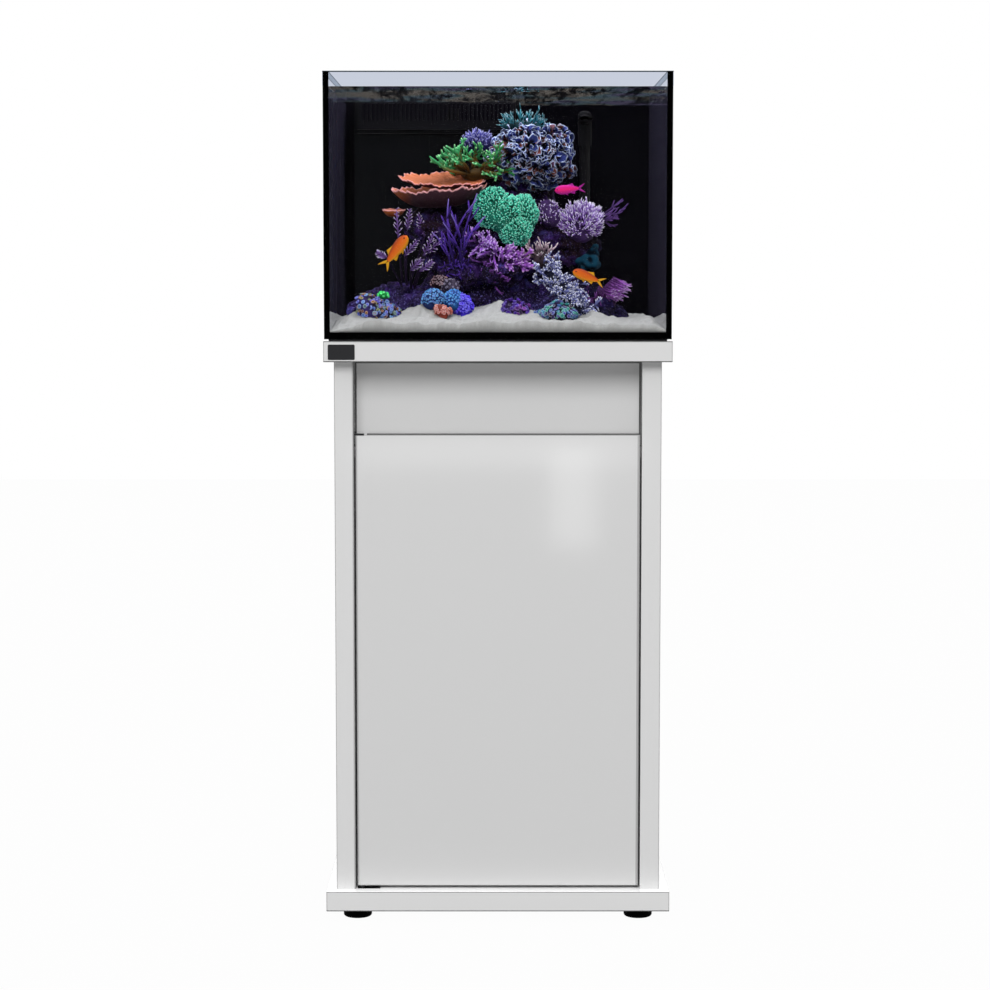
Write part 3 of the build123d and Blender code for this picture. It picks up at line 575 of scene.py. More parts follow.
def unit(vectors):
    """Vectors of length one."""
    return vectors / np.maximum(np.linalg.norm(vectors, axis=-1, keepdims=True), 1e-9)


def full_turn(count):
    """Even angles round a circle."""
    return np.linspace(0, 2 * np.pi, count, endpoint=False)


def waves(points, length, seed, count=24):
    """Smooth relief of about -1 to 1: a sum of plane waves of random heading, length and phase."""
    rng = np.random.default_rng(seed)
    heading = unit(rng.normal(size=(count, 3))) * (2 * np.pi / length) * rng.uniform(0.6, 1.7, (count, 1))
    phase = rng.uniform(0, 2 * np.pi, count)
    return np.sin(points @ heading.T + phase).sum(-1) / np.sqrt(count)


def grid_faces(rows, cols, wrap=False):
    """Quads of points numbered row by row; wrap joins the last column to the first."""
    r = np.arange(rows - 1)[:, None]
    c = np.arange(cols if wrap else cols - 1)[None]
    n = (c + 1) % cols
    return np.stack([r * cols + c, r * cols + n, (r + 1) * cols + n, (r + 1) * cols + c], -1).reshape(-1, 4)


class Shape:
    """Points, faces and two point values: tip runs from root to tip, tone is one shoot's own shade."""

    def __init__(self, points, faces, tip, tone):
        self.points = points.reshape(-1, 3)
        self.faces = faces
        self.tip = np.broadcast_to(tip, points.shape[:-1]).reshape(-1)
        self.tone = np.broadcast_to(tone, points.shape[:-1]).reshape(-1)


def joined(shapes):
    """Several shapes as one."""
    starts = np.cumsum([0] + [len(s.points) for s in shapes])
    faces = [block + start for s, start in zip(shapes, starts) for block in s.faces]
    return Shape(np.concatenate([s.points for s in shapes]), faces, np.concatenate([s.tip for s in shapes]),
                 np.concatenate([s.tone for s in shapes]))


def many(faces, count, size):
    """The same faces for count grids of size points."""
    step = (np.arange(count) * size)[:, None, None]
    return (faces[None] + step).reshape(-1, faces.shape[-1])


def closed_rings(points, tip, tone):
    """Stacks of rings, points[stack, row, column], joined round and capped at both ends."""
    count, rows, cols, _ = points.shape
    first = np.arange(cols)[None, ::-1]
    last = np.arange(cols)[None] + (rows - 1) * cols
    blocks = [grid_faces(rows, cols, True), first, last]
    return Shape(points, [many(block, count, rows * cols) for block in blocks], tip, tone)


def open_sheets(points, tip, tone):
    """Sheets, points[sheet, row, column]."""
    count, rows, cols, _ = points.shape
    return Shape(points, [many(grid_faces(rows, cols), count, rows * cols)], tip, tone)


def skin(paths, radii, sides, tip, tone):
    """Round profile carried along many paths at once: centre + r (cos a, sin a) across the path."""
    ahead = unit(np.gradient(paths, axis=1))
    run = unit(paths[:, -1] - paths[:, 0])
    aside = np.where(np.abs(run[:, 2:]) < 0.8, UP, np.array([1.0, 0.0, 0.0]))
    n1 = unit(np.cross(ahead, np.broadcast_to(aside[:, None], ahead.shape)))
    n2 = np.cross(ahead, n1)
    turn = full_turn(sides)[:, None]
    ring = np.cos(turn) * n1[:, :, None] + np.sin(turn) * n2[:, :, None]
    points = paths[:, :, None] + radii[:, :, None, None] * ring
    return closed_rings(points, tip[:, :, None], tone[:, None, None])


def balls(centres, radii, rows, cols):
    """Unit directions of a ball, polar angle up the rows, turn along the columns, and the balls' points."""
    polar = np.linspace(np.pi - 0.05, 0.05, rows)[:, None]
    turn = full_turn(cols)[None]
    flat = np.sin(polar)
    heading = np.stack([flat * np.cos(turn), flat * np.sin(turn), np.cos(polar) * np.ones_like(turn)], -1)
    return heading, centres[:, None, None] + radii[:, None, None] * heading


def swelling(points, relief, seed):
    """Relief of two waves, one a third as long as the other, in metres, and the plain sum of the waves."""
    coarse = waves(points, 0.055, seed)
    fine = waves(points, 0.018, seed + 1)
    return 6 * MM * relief * (coarse + 0.45 * fine), coarse + fine


def lumpy(centres, radii, rows, cols, relief, seed, light=1.0):
    """Balls that swell by waves; light scales their tip value."""
    heading, points = balls(centres, radii, rows, cols)
    swell, total = swelling(points, relief, seed)
    tip = light * np.clip(0.5 + 0.35 * total, 0, 1)
    tone = np.random.default_rng(seed).uniform(0.2, 0.9, len(centres))[:, None, None]
    return closed_rings(points + heading * swell[..., None], tip, tone)


def lumps(rows, *rest):
    """Lumpy balls from rows of centre and radii, in millimetres over the tank's floor."""
    rows = np.array(rows)
    return lumpy(above_floor(rows[:, 0]), rows[:, 1] * MM, *rest)


def shoots(start, heading, length, bend, steps):
    """Paths: start + heading * length * s + bend * s squared, for s from 0 to 1."""
    s = np.linspace(0, 1, steps)[None, :, None]
    return start[:, None] + heading[:, None] * length[:, None, None] * s + bend[:, None] * s ** 2


def sprout(rng, parents, each, span, spread, length, lift, steps):
    """Side shoots: each parent path carries some over its span, leaving it at the angle spread; length in
    millimetres."""
    n, p, _ = parents.shape
    s = span[0] + (span[1] - span[0]) * (np.arange(each) + rng.uniform(0.1, 0.9, (n, each))) / each
    at = s * (p - 1)
    low = np.minimum(at.astype(int), p - 2)
    rows = np.arange(n)[:, None]
    a, b = parents[rows, low], parents[rows, low + 1]
    start = a + (b - a) * (at - low)[..., None]
    ahead = unit(b - a)
    side = unit(np.cross(ahead, rng.normal(size=ahead.shape)))
    heading = unit(ahead * np.cos(spread) + side * np.sin(spread))
    size = length * MM * rng.uniform(0.65, 1.25, (n, each)) * (1.2 - 0.5 * s)
    bend = UP * (lift * size)[..., None]
    flat = [v.reshape(-1, 3) for v in (start, heading, bend)]
    return shoots(flat[0], flat[1], size.reshape(-1), flat[2], steps)


def fingers(rng, paths, root, end, sides, tips):
    """Skinned paths that taper from root to end radius, in millimetres, and round off at the tip."""
    count, steps, _ = paths.shape
    s = np.linspace(0, 1, steps)[None]
    blunt = np.sqrt(np.clip((1.04 - s) / 0.18, 0, 1))
    radii = MM * (root + (end - root) * s) * blunt * rng.uniform(0.85, 1.15, (count, 1))
    tip = tips[0] + (tips[1] - tips[0]) * s + np.zeros((count, 1))
    return skin(paths, radii, sides, tip, rng.uniform(0, 1, count))


def tuft(rng, roots, spread, lean, waver, sizes):
    """Short straight shoots strewn about their roots, leaning more or less one way; spread and sizes in
    millimetres."""
    count = len(roots)
    start = roots + rng.normal(size=(count, 3)) * np.array(spread) * MM
    heading = unit(np.array(lean) + waver * rng.normal(size=(count, 3)))
    return shoots(start, heading, rng.uniform(*sizes, count) * MM, np.zeros((count, 3)), 5)


def on_ball(count, low=-1.0, high=1.0):
    """Directions spread evenly by the golden angle, with heights from low to high."""
    i = np.arange(count)
    z = low + (high - low) * (i + 0.5) / count
    turn = i * np.pi * (3 - np.sqrt(5))
    flat = np.sqrt(np.maximum(0, 1 - z * z))
    return np.stack([flat * np.cos(turn), flat * np.sin(turn), z], -1)


def put(name, shape, material, replaced=(), body=BODY, smooth=True):
    """Object at the origin from a shape, riding on a body."""
    mesh = bpy.data.meshes.new(name)
    mesh.from_pydata(shape.points.tolist(), [], [f for block in shape.faces for f in block.tolist()])
    for field in ("tip", "tone"):
        values = np.ascontiguousarray(getattr(shape, field), dtype=np.float32)
        mesh.attributes.new(field, "FLOAT", "POINT").data.foreach_set("value", values)
    mesh.polygons.foreach_set("use_smooth", np.full(len(mesh.polygons), smooth))
    mesh.materials.append(material)
    mesh.update()
    piece = bpy.data.objects.new(name, mesh)
    bpy.context.scene.collection.objects.link(piece)
    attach(piece, body)
    if replaced:
        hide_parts(*replaced)
    return piece


def thicken(piece, wall):
    """Gives a sheet its thickness."""
    modifier = piece.modifiers.new("wall", "SOLIDIFY")
    modifier.thickness = wall
    modifier.offset = 0.0


def above_floor(points):
    """Places given in millimetres with heights over the tank's floor, as metres in the frame."""
    return np.asarray(points, float) * MM + np.array([0.0, 0.0, TANK_FLOOR])


# Reef shapes

# Centre and radii of each, in millimetres over the tank's floor
ROCKS = np.array([
    ((-165, 10, 30), (80, 80, 52)),
    ((-30, 20, 50), (118, 92, 74)),
    ((112, 15, 40), (98, 84, 58)),
    ((-45, 15, 135), (86, 72, 70)),
    ((60, 20, 145), (84, 68, 70)),
    ((28, 15, 238), (74, 58, 62)),
    ((-112, -36, 182), (56, 54, 34)),
    ((136, -16, 152), (50, 44, 34)),
    ((186, -70, 22), (50, 44, 34)),
    ((-104, -124, 20), (62, 46, 40)),
    ((104, -112, 24), (52, 40, 34)),
    ((14, -48, 182), (46, 40, 34)),
    ((-66, -72, 96), (40, 44, 30)),
    ((4, -70, 108), (44, 44, 30)),
])
STONES = np.array([
    ((166, -34, 128), (22, 20, 27)),
    ((-152, -92, 40), (44, 30, 20)),
    ((-232, -84, 34), (34, 32, 30)),
])
# Sand: x and then the heights in millimetres at these shares of the way from front to back
SAND_ROWS = (0.0, 0.1, 0.27, 0.45, 1.0)
SAND_PLAN = np.array([
    (-290, 3, 4, 9, 16, 18),
    (-255, 8, 16, 31, 32, 30),
    (-222, 18, 20, 26, 34, 34),
    (-179, 17, 20, 27, 34, 34),
    (-133, 15, 24, 48, 40, 34),
    (-115, 15, 21, 38, 38, 33),
    (-68, 15, 19, 29, 34, 32),
    (-28, 17, 23, 40, 38, 34),
    (0, 19, 28, 55, 44, 34),
    (50, 19, 26, 42, 40, 35),
    (80, 18, 20, 27, 36, 33),
    (110, 18, 18, 20, 32, 32),
    (132, 17, 18, 21, 30, 31),
    (168, 15, 19, 34, 32, 29),
    (208, 13, 15, 20, 24, 25),
    (272, 12, 14, 19, 20, 22),
    (290, 4, 5, 8, 10, 14),
])


def sand_shape():
    """Bed whose height is read across and along a table, with ripples, closed by a skirt and a flat foot."""
    cols, rows = 260, 130
    u = np.linspace(-1, 1, cols) * SAND_PLAN[-1, 0]
    v = np.linspace(0, 1, rows) ** 1.3
    across = np.stack([np.interp(u, SAND_PLAN[:, 0], line) for line in SAND_PLAN[:, 1:].T])
    share = np.interp(v, SAND_ROWS, np.arange(len(SAND_ROWS)))
    low = np.minimum(share.astype(int), len(SAND_ROWS) - 2)
    part = (share - low)[:, None]
    part = part * part * (3 - 2 * part)
    height = across[low] * (1 - part) + across[low + 1] * part
    x = u[None] / SAND_PLAN[-1, 0] * SAND[1][0] + 0 * v[:, None]
    y = SAND[0][1] + (SAND[1][1] - SAND[0][1]) * v[:, None] + 0 * x
    flat = np.stack([x, y, 0 * x], -1)
    inside = np.clip((SAND[1][0] - np.abs(x)) / 0.012, 0, 1)
    ripple = 1.9 * waves(flat, 0.06, 3) + 1.2 * waves(flat, 0.02, 4) + 0.6 * waves(flat, 0.007, 5)
    top = np.stack([x, y, TANK_FLOOR + np.maximum(height + ripple * inside, 2.0) * MM], -1)
    index = np.arange(rows * cols).reshape(rows, cols)
    rim = np.concatenate([index[0, :-1], index[:-1, -1], index[-1, :0:-1], index[:0:-1, 0]])
    points = top.reshape(-1, 3)
    foot = points[rim] * np.array([1, 1, 0]) + np.array([0, 0, TANK_FLOOR])
    low_rim = np.arange(len(rim)) + len(points)
    skirt = np.stack([low_rim, np.roll(low_rim, -1), np.roll(rim, -1), rim], -1)
    faces = [grid_faces(rows, cols), skirt, low_rim[None, ::-1]]
    return Shape(np.concatenate([points, foot]), faces, 0.5, 0.5)


LEAF_CENTRE = (59, -20, 311)


def leaf_shape():
    """Leafy colony: cupped petals on an ellipsoid. A petal widens along v, and its rim curls and ruffles
    over u."""
    rng = np.random.default_rng(11)
    centre, radii = above_floor(LEAF_CENTRE), np.array([74, 62, 60]) * MM
    count = 960
    heading = on_ball(count, -0.95, 1.0)
    lump = 1 + 0.17 * waves(heading, 0.6, 12)[:, None]
    base = centre + radii * heading * 0.86 * lump
    out = unit(unit(heading / radii) + 0.5 * rng.normal(size=heading.shape))
    side = unit(np.cross(out, rng.normal(size=out.shape)))
    flat = np.cross(side, out)
    u = np.linspace(-1, 1, 7)[None, None]
    v = np.linspace(0, 1, 5)[None, :, None]
    size = (0.45 + 0.75 * rng.uniform(0, 1, (count, 1, 1)) ** 2) * MM
    wide = 8.0 * size * np.sin(0.35 + 1.3 * v)
    ruffle = 1.8 * size * np.sin(6 * u + rng.uniform(0, 6, (count, 1, 1))) * v ** 2
    cup = 6.0 * size * u ** 2 * v - 5.0 * size * v ** 2
    reach = 15.0 * size * v * (1 - 0.2 * u ** 2)
    points = (base[:, None, None] + out[:, None, None] * reach[..., None]
              + side[:, None, None] * (wide * u)[..., None] + flat[:, None, None] * (cup + ruffle)[..., None])
    rim = np.clip(np.maximum(v, 0.72 * np.abs(u) ** 3 + 0.3 * v) + 0 * wide, 0, 1)
    return open_sheets(points, rim, rng.uniform(0, 1, (count, 1, 1)))


def plate_shape(centre, rim, stem, rise, tilt, lean, oval, seed):
    """Cup with a wavy rim: rings run out under it and back over it; radius grows as share to the 0.6. It
    tilts forwards and leans sideways, and oval is its depth to its width. Tone is 0 under the plate and 1
    over it."""
    rng = np.random.default_rng(seed)
    share = np.concatenate([np.linspace(0, 1, 20), np.linspace(1, 0, 20)])[:, None]
    over = np.repeat([0.0, 1.0], 20)[:, None]
    t = full_turn(280)[None]
    phase = rng.uniform(0, 6, 5)
    wave = (2.2 * np.sin(9 * t + 1.4 * np.sin(2 * t + phase[3]) + phase[0]) + 1.3 * np.sin(21 * t + phase[1])
            + 1.0 * np.sin(46 * t + phase[4]) + 1.0 * np.sin(3 * t + phase[2])) * share ** 4 * rim / 80
    bumps = 0.7 * np.sin(34 * t + 9 * share) * np.sin(26 * share) * over
    r = stem * (1 - over * 0.9) + (rim - stem * (1 - over * 0.9)) * share ** 0.6 + wave * 0.8
    z = rise * share ** 1.2 + wave + bumps * (rim / 80) + (over - 0.5) * 3.4 * (1 - 0.5 * share)
    z = z + over * 0.35 * rise * (1 - share) ** 2 + lean * r * np.cos(t)
    local = np.stack([r * np.cos(t), oval * r * np.sin(t), z], -1)
    pitch = np.array([[1, 0, 0], [0, np.cos(tilt), np.sin(tilt)], [0, -np.sin(tilt), np.cos(tilt)]])
    points = above_floor(centre) + (local @ pitch) * MM
    return closed_rings(points[None], (share + 0 * t)[None], (over + 0 * t)[None])


# Centre and radii of the ball colony's lobes
BALL_LOBES = np.array([
    ((-9, -84, 215), (34, 33, 39)),
    ((14, -88, 204), (33, 32, 35)),
    ((44, -80, 206), (27, 28, 34)),
    ((31, -92, 177), (28, 28, 29)),
])


def ball_shape():
    """Lobes covered with short blunt polyps that stand along their normals."""
    rng = np.random.default_rng(21)
    centres, radii = above_floor(BALL_LOBES[:, 0]), BALL_LOBES[:, 1] * MM
    # Core's tip values scaled to 0.3 so it takes the dark low stops: painted shade in the gaps between polyps
    core = lumpy(centres, radii * 0.94, 40, 60, 0.3, 22, 0.3)
    count = 1050
    heading = unit(on_ball(count, -0.9, 1.0)[None] + 0.045 * rng.normal(size=(len(radii), count, 3)))
    swell = 1 + 0.05 * waves(heading, 0.8, 23)[..., None]
    start = (centres[:, None] + radii[:, None] * heading * 0.9 * swell).reshape(-1, 3)
    out = unit(heading / radii[:, None]).reshape(-1, 3)
    length = rng.uniform(3.6, 6.4, len(start)) * MM
    paths = shoots(start, unit(out + 0.4 * rng.normal(size=out.shape)), length, UP * length[:, None] * 0.2, 4)
    return joined([core, fingers(rng, paths, 1.5, 1.15, 4, (0.2, 1.0))])


def bush(seed, core, radii, heading, length, twigs, thick, sides=5, lift=0.18, jitter=0.22):
    """Bush: stems along the headings out of a core, each with twigs, in millimetres. Twigs gives their
    number, span and spread as sprout takes them, and their share of the stems' length."""
    rng = np.random.default_rng(seed)
    count = len(heading)
    size = length * MM * rng.uniform(0.7, 1.2, count)
    start = above_floor(core) + np.array(radii) * MM * heading * 0.6
    aim = unit(heading + jitter * rng.normal(size=heading.shape))
    bend = UP * (lift * size)[:, None] + 0.12 * rng.normal(size=(count, 3)) * size[:, None]
    stems = shoots(start, aim, size, bend, 8)
    stem_part = fingers(rng, stems, thick, thick * 0.75, sides, (0.0, 0.95))
    *angles, share = twigs
    side = sprout(rng, stems, *angles, length * share, 0.25, 5)
    twig_part = fingers(rng, side, thick * 0.85, thick * 0.6, sides, (0.4, 1.0))
    # The core's tip values scaled to 0.2 give it the dark low stops: painted shade under the stems
    return joined([stem_part, twig_part, lumps([(core, radii)], 18, 24, 0.3, seed + 1, 0.2)])


def antler_shape():
    """Antlers: stout stems leave a low core to all sides, kink to and fro and fork twice."""
    rng = np.random.default_rng(31)
    heading = on_ball(26, 0.02, 0.94) * np.array([1.5, 0.9, 0.8])
    heading = unit(heading + 0.22 * rng.normal(size=heading.shape))
    count, steps = len(heading), 12
    size = rng.uniform(40, 66, count) * MM * (1 - 0.3 * np.abs(heading[:, 2]))
    start = above_floor((-40, -46, 279)) + heading * np.array([24, 16, 10]) * MM
    waver = rng.normal(size=heading.shape) * np.array([0.3, 0.25, 0.2]) + 0.12 * UP
    stems = shoots(start, heading, size, waver * size[:, None], steps)
    kink = np.sin(np.linspace(0, 8, steps)[None] + rng.uniform(0, 6, (count, 1)))[..., None]
    aside = unit(np.cross(heading, rng.normal(size=heading.shape)))
    stems = stems + 2.0 * MM * kink * aside[:, None]
    forks = sprout(rng, stems, 3, (0.35, 0.92), 1.0, 24, 0.35, 8)
    last = sprout(rng, forks, 2, (0.45, 0.95), 0.95, 11, 0.3, 7)
    # The core's tip values scaled to 0.2 give it the dark low stops: painted shade under the branches
    return joined([lumps([((-40, -44, 278), (30, 20, 10))], 18, 24, 0.4, 32, 0.2),
                   fingers(rng, stems, 2.9, 2.3, 7, (0.0, 0.8)),
                   fingers(rng, forks, 2.5, 2.0, 6, (0.35, 0.95)),
                   fingers(rng, last, 2.1, 1.7, 6, (0.6, 1.0))])


def crown_shape():
    """Fine teal tuft on the top."""
    heading = unit(on_ball(30, 0.1, 0.98) * np.array([1.3, 0.9, 0.9]))
    return bush(41, (46, -26, 364), (36, 16, 10), heading, 24, (4, (0.3, 0.98), 0.6, 0.42), 1.2)


def violet_shape():
    """Stubby violet tuft beside the crown."""
    heading = on_ball(120, -0.1, 1.0)
    return bush(51, (-36, 0, 332), (28, 18, 18), heading, 15, (2, (0.4, 0.9), 0.6, 0.45), 1.7)


def lilac_shape():
    """Fingered bush with pale tips, a smaller one at its left, and a few thin branches to its right."""
    rng = np.random.default_rng(61)
    heading = unit(on_ball(300, -0.65, 1.0) + np.array([0.16, -0.1, 0.12]))
    bushy = bush(62, (150, -50, 184), (30, 27, 29), heading, 24, (2, (0.4, 0.9), 0.6, 0.45), 1.25,
                 lift=0.3, jitter=0.34)
    heading = on_ball(130, -0.7, 1.0)
    lesser = bush(63, (92, -44, 206), (20, 18, 26), heading, 10, (2, (0.4, 0.9), 0.6, 0.5), 1.4)
    count = 10
    start = above_floor((176, -44, 194)) + rng.normal(size=(count, 3)) * 5 * MM
    side = unit(np.stack([np.ones(count), rng.uniform(-0.5, 0.2, count), rng.uniform(-0.2, 0.6, count)], -1))
    thin = shoots(start, side, rng.uniform(32, 52, count) * MM, UP * rng.uniform(-8, 14, (count, 1)) * MM, 7)
    twigs = sprout(rng, thin, 3, (0.4, 0.95), 0.5, 14, 0.2, 5)
    return joined([bushy, lesser, fingers(rng, thin, 1.7, 1.0, 5, (0.0, 0.5)),
                   fingers(rng, twigs, 1.2, 0.8, 5, (0.2, 0.55))])


def hedge(seed, first, last, width, count, length, leans, thick, twigs):
    """Hedge: forked fingers scattered along a line between two points, leaning from one way to the other; in
    millimetres."""
    rng = np.random.default_rng(seed)
    along = rng.uniform(0, 1, (count, 1))
    start = above_floor(first) * (1 - along) + above_floor(last) * along
    start = start + rng.normal(size=(count, 3)) * np.array(width) * MM
    lean = np.array(leans[0]) * (1 - along) + np.array(leans[1]) * along
    heading = unit(lean + 0.5 * rng.normal(size=(count, 3)))
    size = length * MM * rng.uniform(0.7, 1.25, count)
    stems = shoots(start, heading, size, 0.25 * rng.normal(size=(count, 3)) * size[:, None], 7)
    side = sprout(rng, stems, twigs, (0.3, 0.95), 0.75, length * 0.45, 0.15, 5)
    s = np.linspace(0, 1, 12)[None, :, None]
    spine = above_floor(first)[None, None] * (1 - s) + above_floor(last)[None, None] * s
    stem = skin(spine, np.full((1, 12), max(width) * 0.9 * MM), 9, np.zeros((1, 12)), np.array([0.2]))
    return joined([stem, fingers(rng, stems, thick, thick * 0.8, 6, (0.1, 0.95)),
                   fingers(rng, side, thick * 0.85, thick * 0.65, 6, (0.4, 1.0))])


def magenta_shape():
    """Branches that run down to the right under the ball colony."""
    high = hedge(71, (-36, -98, 158), (42, -104, 112), (8, 7, 8), 84, 22,
                 ((-0.2, -0.6, 0.5), (0.75, -0.5, 0.0)), 2.1, 4)
    low = hedge(72, (-30, -100, 132), (10, -100, 92), (9, 6, 8), 40, 14,
                ((-0.2, -0.6, 0.3), (0.3, -0.6, -0.2)), 2.0, 3)
    low.tip = low.tip * 0.5
    return joined([high, low])


def blue_shape():
    """Pale hedge that runs down to the right at the front."""
    upper = hedge(81, (88, -134, 108), (138, -142, 44), (11, 7, 10), 170, 15,
                  ((-0.1, -0.6, 0.6), (0.5, -0.6, 0.3)), 1.55, 4)
    lower = hedge(82, (112, -146, 56), (146, -148, 34), (14, 5, 8), 110, 15,
                  ((0.2, -0.6, 0.5), (0.8, -0.4, 0.2)), 1.6, 3)
    return joined([upper, lower])


def pale_antler_shape():
    """Small grey antlers between the ball and the hedge."""
    heading = unit(on_ball(15, 0.0, 0.95) * np.array([1.1, 1.0, 0.9]))
    return bush(84, (76, -96, 128), (12, 12, 16), heading, 24, (3, (0.35, 0.95), 0.7, 0.5), 1.7,
                sides=6, lift=0.2)


def fan_shape():
    """Fan: strands side by side from a rising root line, running down to the right, and a darker tuft at its
    foot."""
    rng = np.random.default_rng(91)
    count = 64
    along = np.linspace(0, 1, count)[:, None]
    start = above_floor((182, -94, 66)) * (1 - along) + above_floor((208, -98, 90)) * along
    start = start + rng.normal(size=(count, 3)) * np.array([3, 5, 2.5]) * MM
    heading = unit(np.stack([np.full(count, 0.86), rng.uniform(-0.35, 0.15, count),
                             -0.5 + 0.12 * rng.normal(size=count)], -1))
    size = rng.uniform(24, 42, count) * MM
    strands = shoots(start, heading, size, UP * (0.12 * size)[:, None], 8)
    twigs = sprout(rng, strands, 3, (0.4, 0.95), 0.45, 9, 0.1, 4)
    stalk = shoots(above_floor([(182, -82, 26), (190, -86, 26), (198, -84, 24)]),
                   unit(np.array([[0.0, -0.1, 1.0], [0.1, -0.2, 1.0], [0.3, 0.0, 1.0]])),
                   np.array([52, 54, 56]) * MM, np.zeros((3, 3)), 6)
    roots = np.repeat(above_floor((170, -92, 44))[None], 40, 0)
    low = tuft(rng, roots, (10, 6, 12), (-0.1, -0.6, 0.5), 0.5, (10, 22))
    dark = fingers(rng, low, 1.5, 1.0, 5, (0.1, 0.6))
    return joined([fingers(rng, stalk, 7, 5, 8, (0.0, 0.15)), dark,
                   fingers(rng, strands, 1.7, 1.2, 6, (0.25, 0.95)),
                   fingers(rng, twigs, 1.2, 0.8, 5, (0.4, 1.0))])


# Root, foot of the plume and its end, in millimetres over the tank's floor
PLUMES = np.array([
    ((-172, -60, 84), (-178, -86, 164), (-181, -88, 216)),
    ((-166, -60, 84), (-162, -84, 178), (-157, -86, 216)),
    ((-158, -60, 84), (-131, -78, 166), (-142, -82, 206)),
    ((-152, -62, 80), (-133, -90, 132), (-112, -94, 176)),
    ((-148, -62, 78), (-127, -86, 136), (-97, -88, 164)),
    ((-164, -62, 80), (-167, -92, 132), (-143, -96, 160)),
    ((-172, -60, 76), (-198, -88, 128), (-216, -90, 138)),
    ((-156, -66, 74), (-156, -96, 106), (-136, -100, 126)),
    ((-150, -66, 74), (-140, -96, 104), (-116, -98, 122)),
])


def spray_shape():
    """Feathery sprays: a dark stalk climbs from the rock to a plume, whose leaflets leave it in two ranks."""
    rng = np.random.default_rng(101)
    root, base, end = (above_floor(PLUMES[:, i]) for i in range(3))
    run = base - root
    stalks = shoots(root, unit(run), np.linalg.norm(run, axis=-1), np.zeros_like(run), 8)
    span = end - base
    length = np.linalg.norm(span, axis=-1)
    ribs = shoots(base, unit(span), length, np.zeros_like(span), 12)
    each = 13
    s = ((np.arange(each) + 0.5) / each)[None, :, None]
    flank = np.where(np.arange(each) % 2, 1.0, -1.0)[None, :, None]
    ahead = unit(span)[:, None]
    aside = unit(np.cross(ahead, np.array([0.0, 1.0, 0.0])))
    start = base[:, None] + span[:, None] * s
    heading = unit(0.8 * ahead + flank * aside + 0.22 * rng.normal(size=start.shape))
    size = 12.0 * MM * (1.05 - 0.7 * s[..., 0]) * rng.uniform(0.8, 1.2, start.shape[:2])
    size = size * np.clip(0.4 + 3 * s[..., 0], 0, 1)
    leaves = shoots(start.reshape(-1, 3), heading.reshape(-1, 3), size.reshape(-1),
                    0.2 * np.repeat(ahead, each, 1).reshape(-1, 3) * size.reshape(-1, 1), 5)
    tiny = sprout(rng, leaves, 1, (0.5, 0.7), 0.6, 3.6, 0.0, 3)
    return joined([fingers(rng, stalks, 2.2, 1.3, 6, (-0.4, -0.1)),
                   fingers(rng, ribs, 1.6, 0.9, 6, (0.2, 0.7)),
                   fingers(rng, leaves, 0.9, 0.7, 5, (0.35, 1.0)),
                   fingers(rng, tiny, 0.7, 0.5, 4, (0.6, 1.0))])


def stick_shape():
    """Curving purple sticks that fork, with a low tuft at their foot."""
    rng = np.random.default_rng(111)
    count = 7
    start = above_floor((-68, -108, 110)) + rng.normal(size=(count, 3)) * np.array([8, 4, 3]) * MM
    turn = full_turn(count)
    heading = unit(np.stack([0.34 * np.cos(turn), 0.1 * np.sin(turn) - 0.26, np.ones(count)], -1))
    size = rng.uniform(64, 140, count) * MM
    curl = np.stack([-0.62 * np.cos(turn + 0.8), 0.1 * np.sin(turn), 0 * turn], -1) * size[:, None]
    stems = shoots(start, heading, size, curl, 12)
    side = sprout(rng, stems, 3, (0.25, 0.85), 0.6, 24, 0.35, 7)
    low = tuft(rng, start[rng.integers(0, count, 60)], (10, 4, 9), (0.0, -0.5, 0.5), 0.6, (8, 16))
    return joined([fingers(rng, stems, 2.1, 1.4, 8, (0.0, 1.0)),
                   fingers(rng, side, 1.7, 1.2, 7, (0.1, 0.8)),
                   fingers(rng, low, 1.5, 1.1, 5, (0.1, 0.7))])


def polyp_shape(seed, centre, radii, count, size, rough):
    """Mound covered with polyps: a polyp is a cup of four rings, its rim raised round a dished middle."""
    rng = np.random.default_rng(seed)
    centre, radii = above_floor(centre), np.array(radii) * MM
    core = lumpy(centre[None], radii[None] * 0.95, 30, 44, rough, seed, 0.2)
    heading = unit(on_ball(count, -0.35, 1.0) + 0.06 * rng.normal(size=(count, 3)))
    out = unit(unit(heading / radii) + 0.3 * rng.normal(size=(count, 3)))
    side = unit(np.cross(out, rng.normal(size=out.shape)))
    far = np.cross(out, side)
    turn = full_turn(8)
    ring = np.cos(turn)[None, :, None] * side[:, None] + np.sin(turn)[None, :, None] * far[:, None]
    wide = size * MM * rng.uniform(0.65, 1.25, count)[:, None, None, None]
    profile = np.array([(0.45, -0.6), (1.0, 0.3), (0.74, 0.45), (0.3, 0.15)])
    spot = centre + radii * heading * 0.95
    swell, _ = swelling(spot, rough, seed)
    base = spot + heading * (swell[:, None] + 0.6 * MM)
    across, along = profile[None, :, :1, None], profile[None, :, 1:, None]
    points = base[:, None, None] + wide * (across * ring[:, None] + along * out[:, None, None])
    tip = np.array([0.3, 0.8, 1.0, 0.45])[None, :, None]
    return joined([core, closed_rings(points, tip, rng.uniform(0, 1, (count, 1, 1)))])


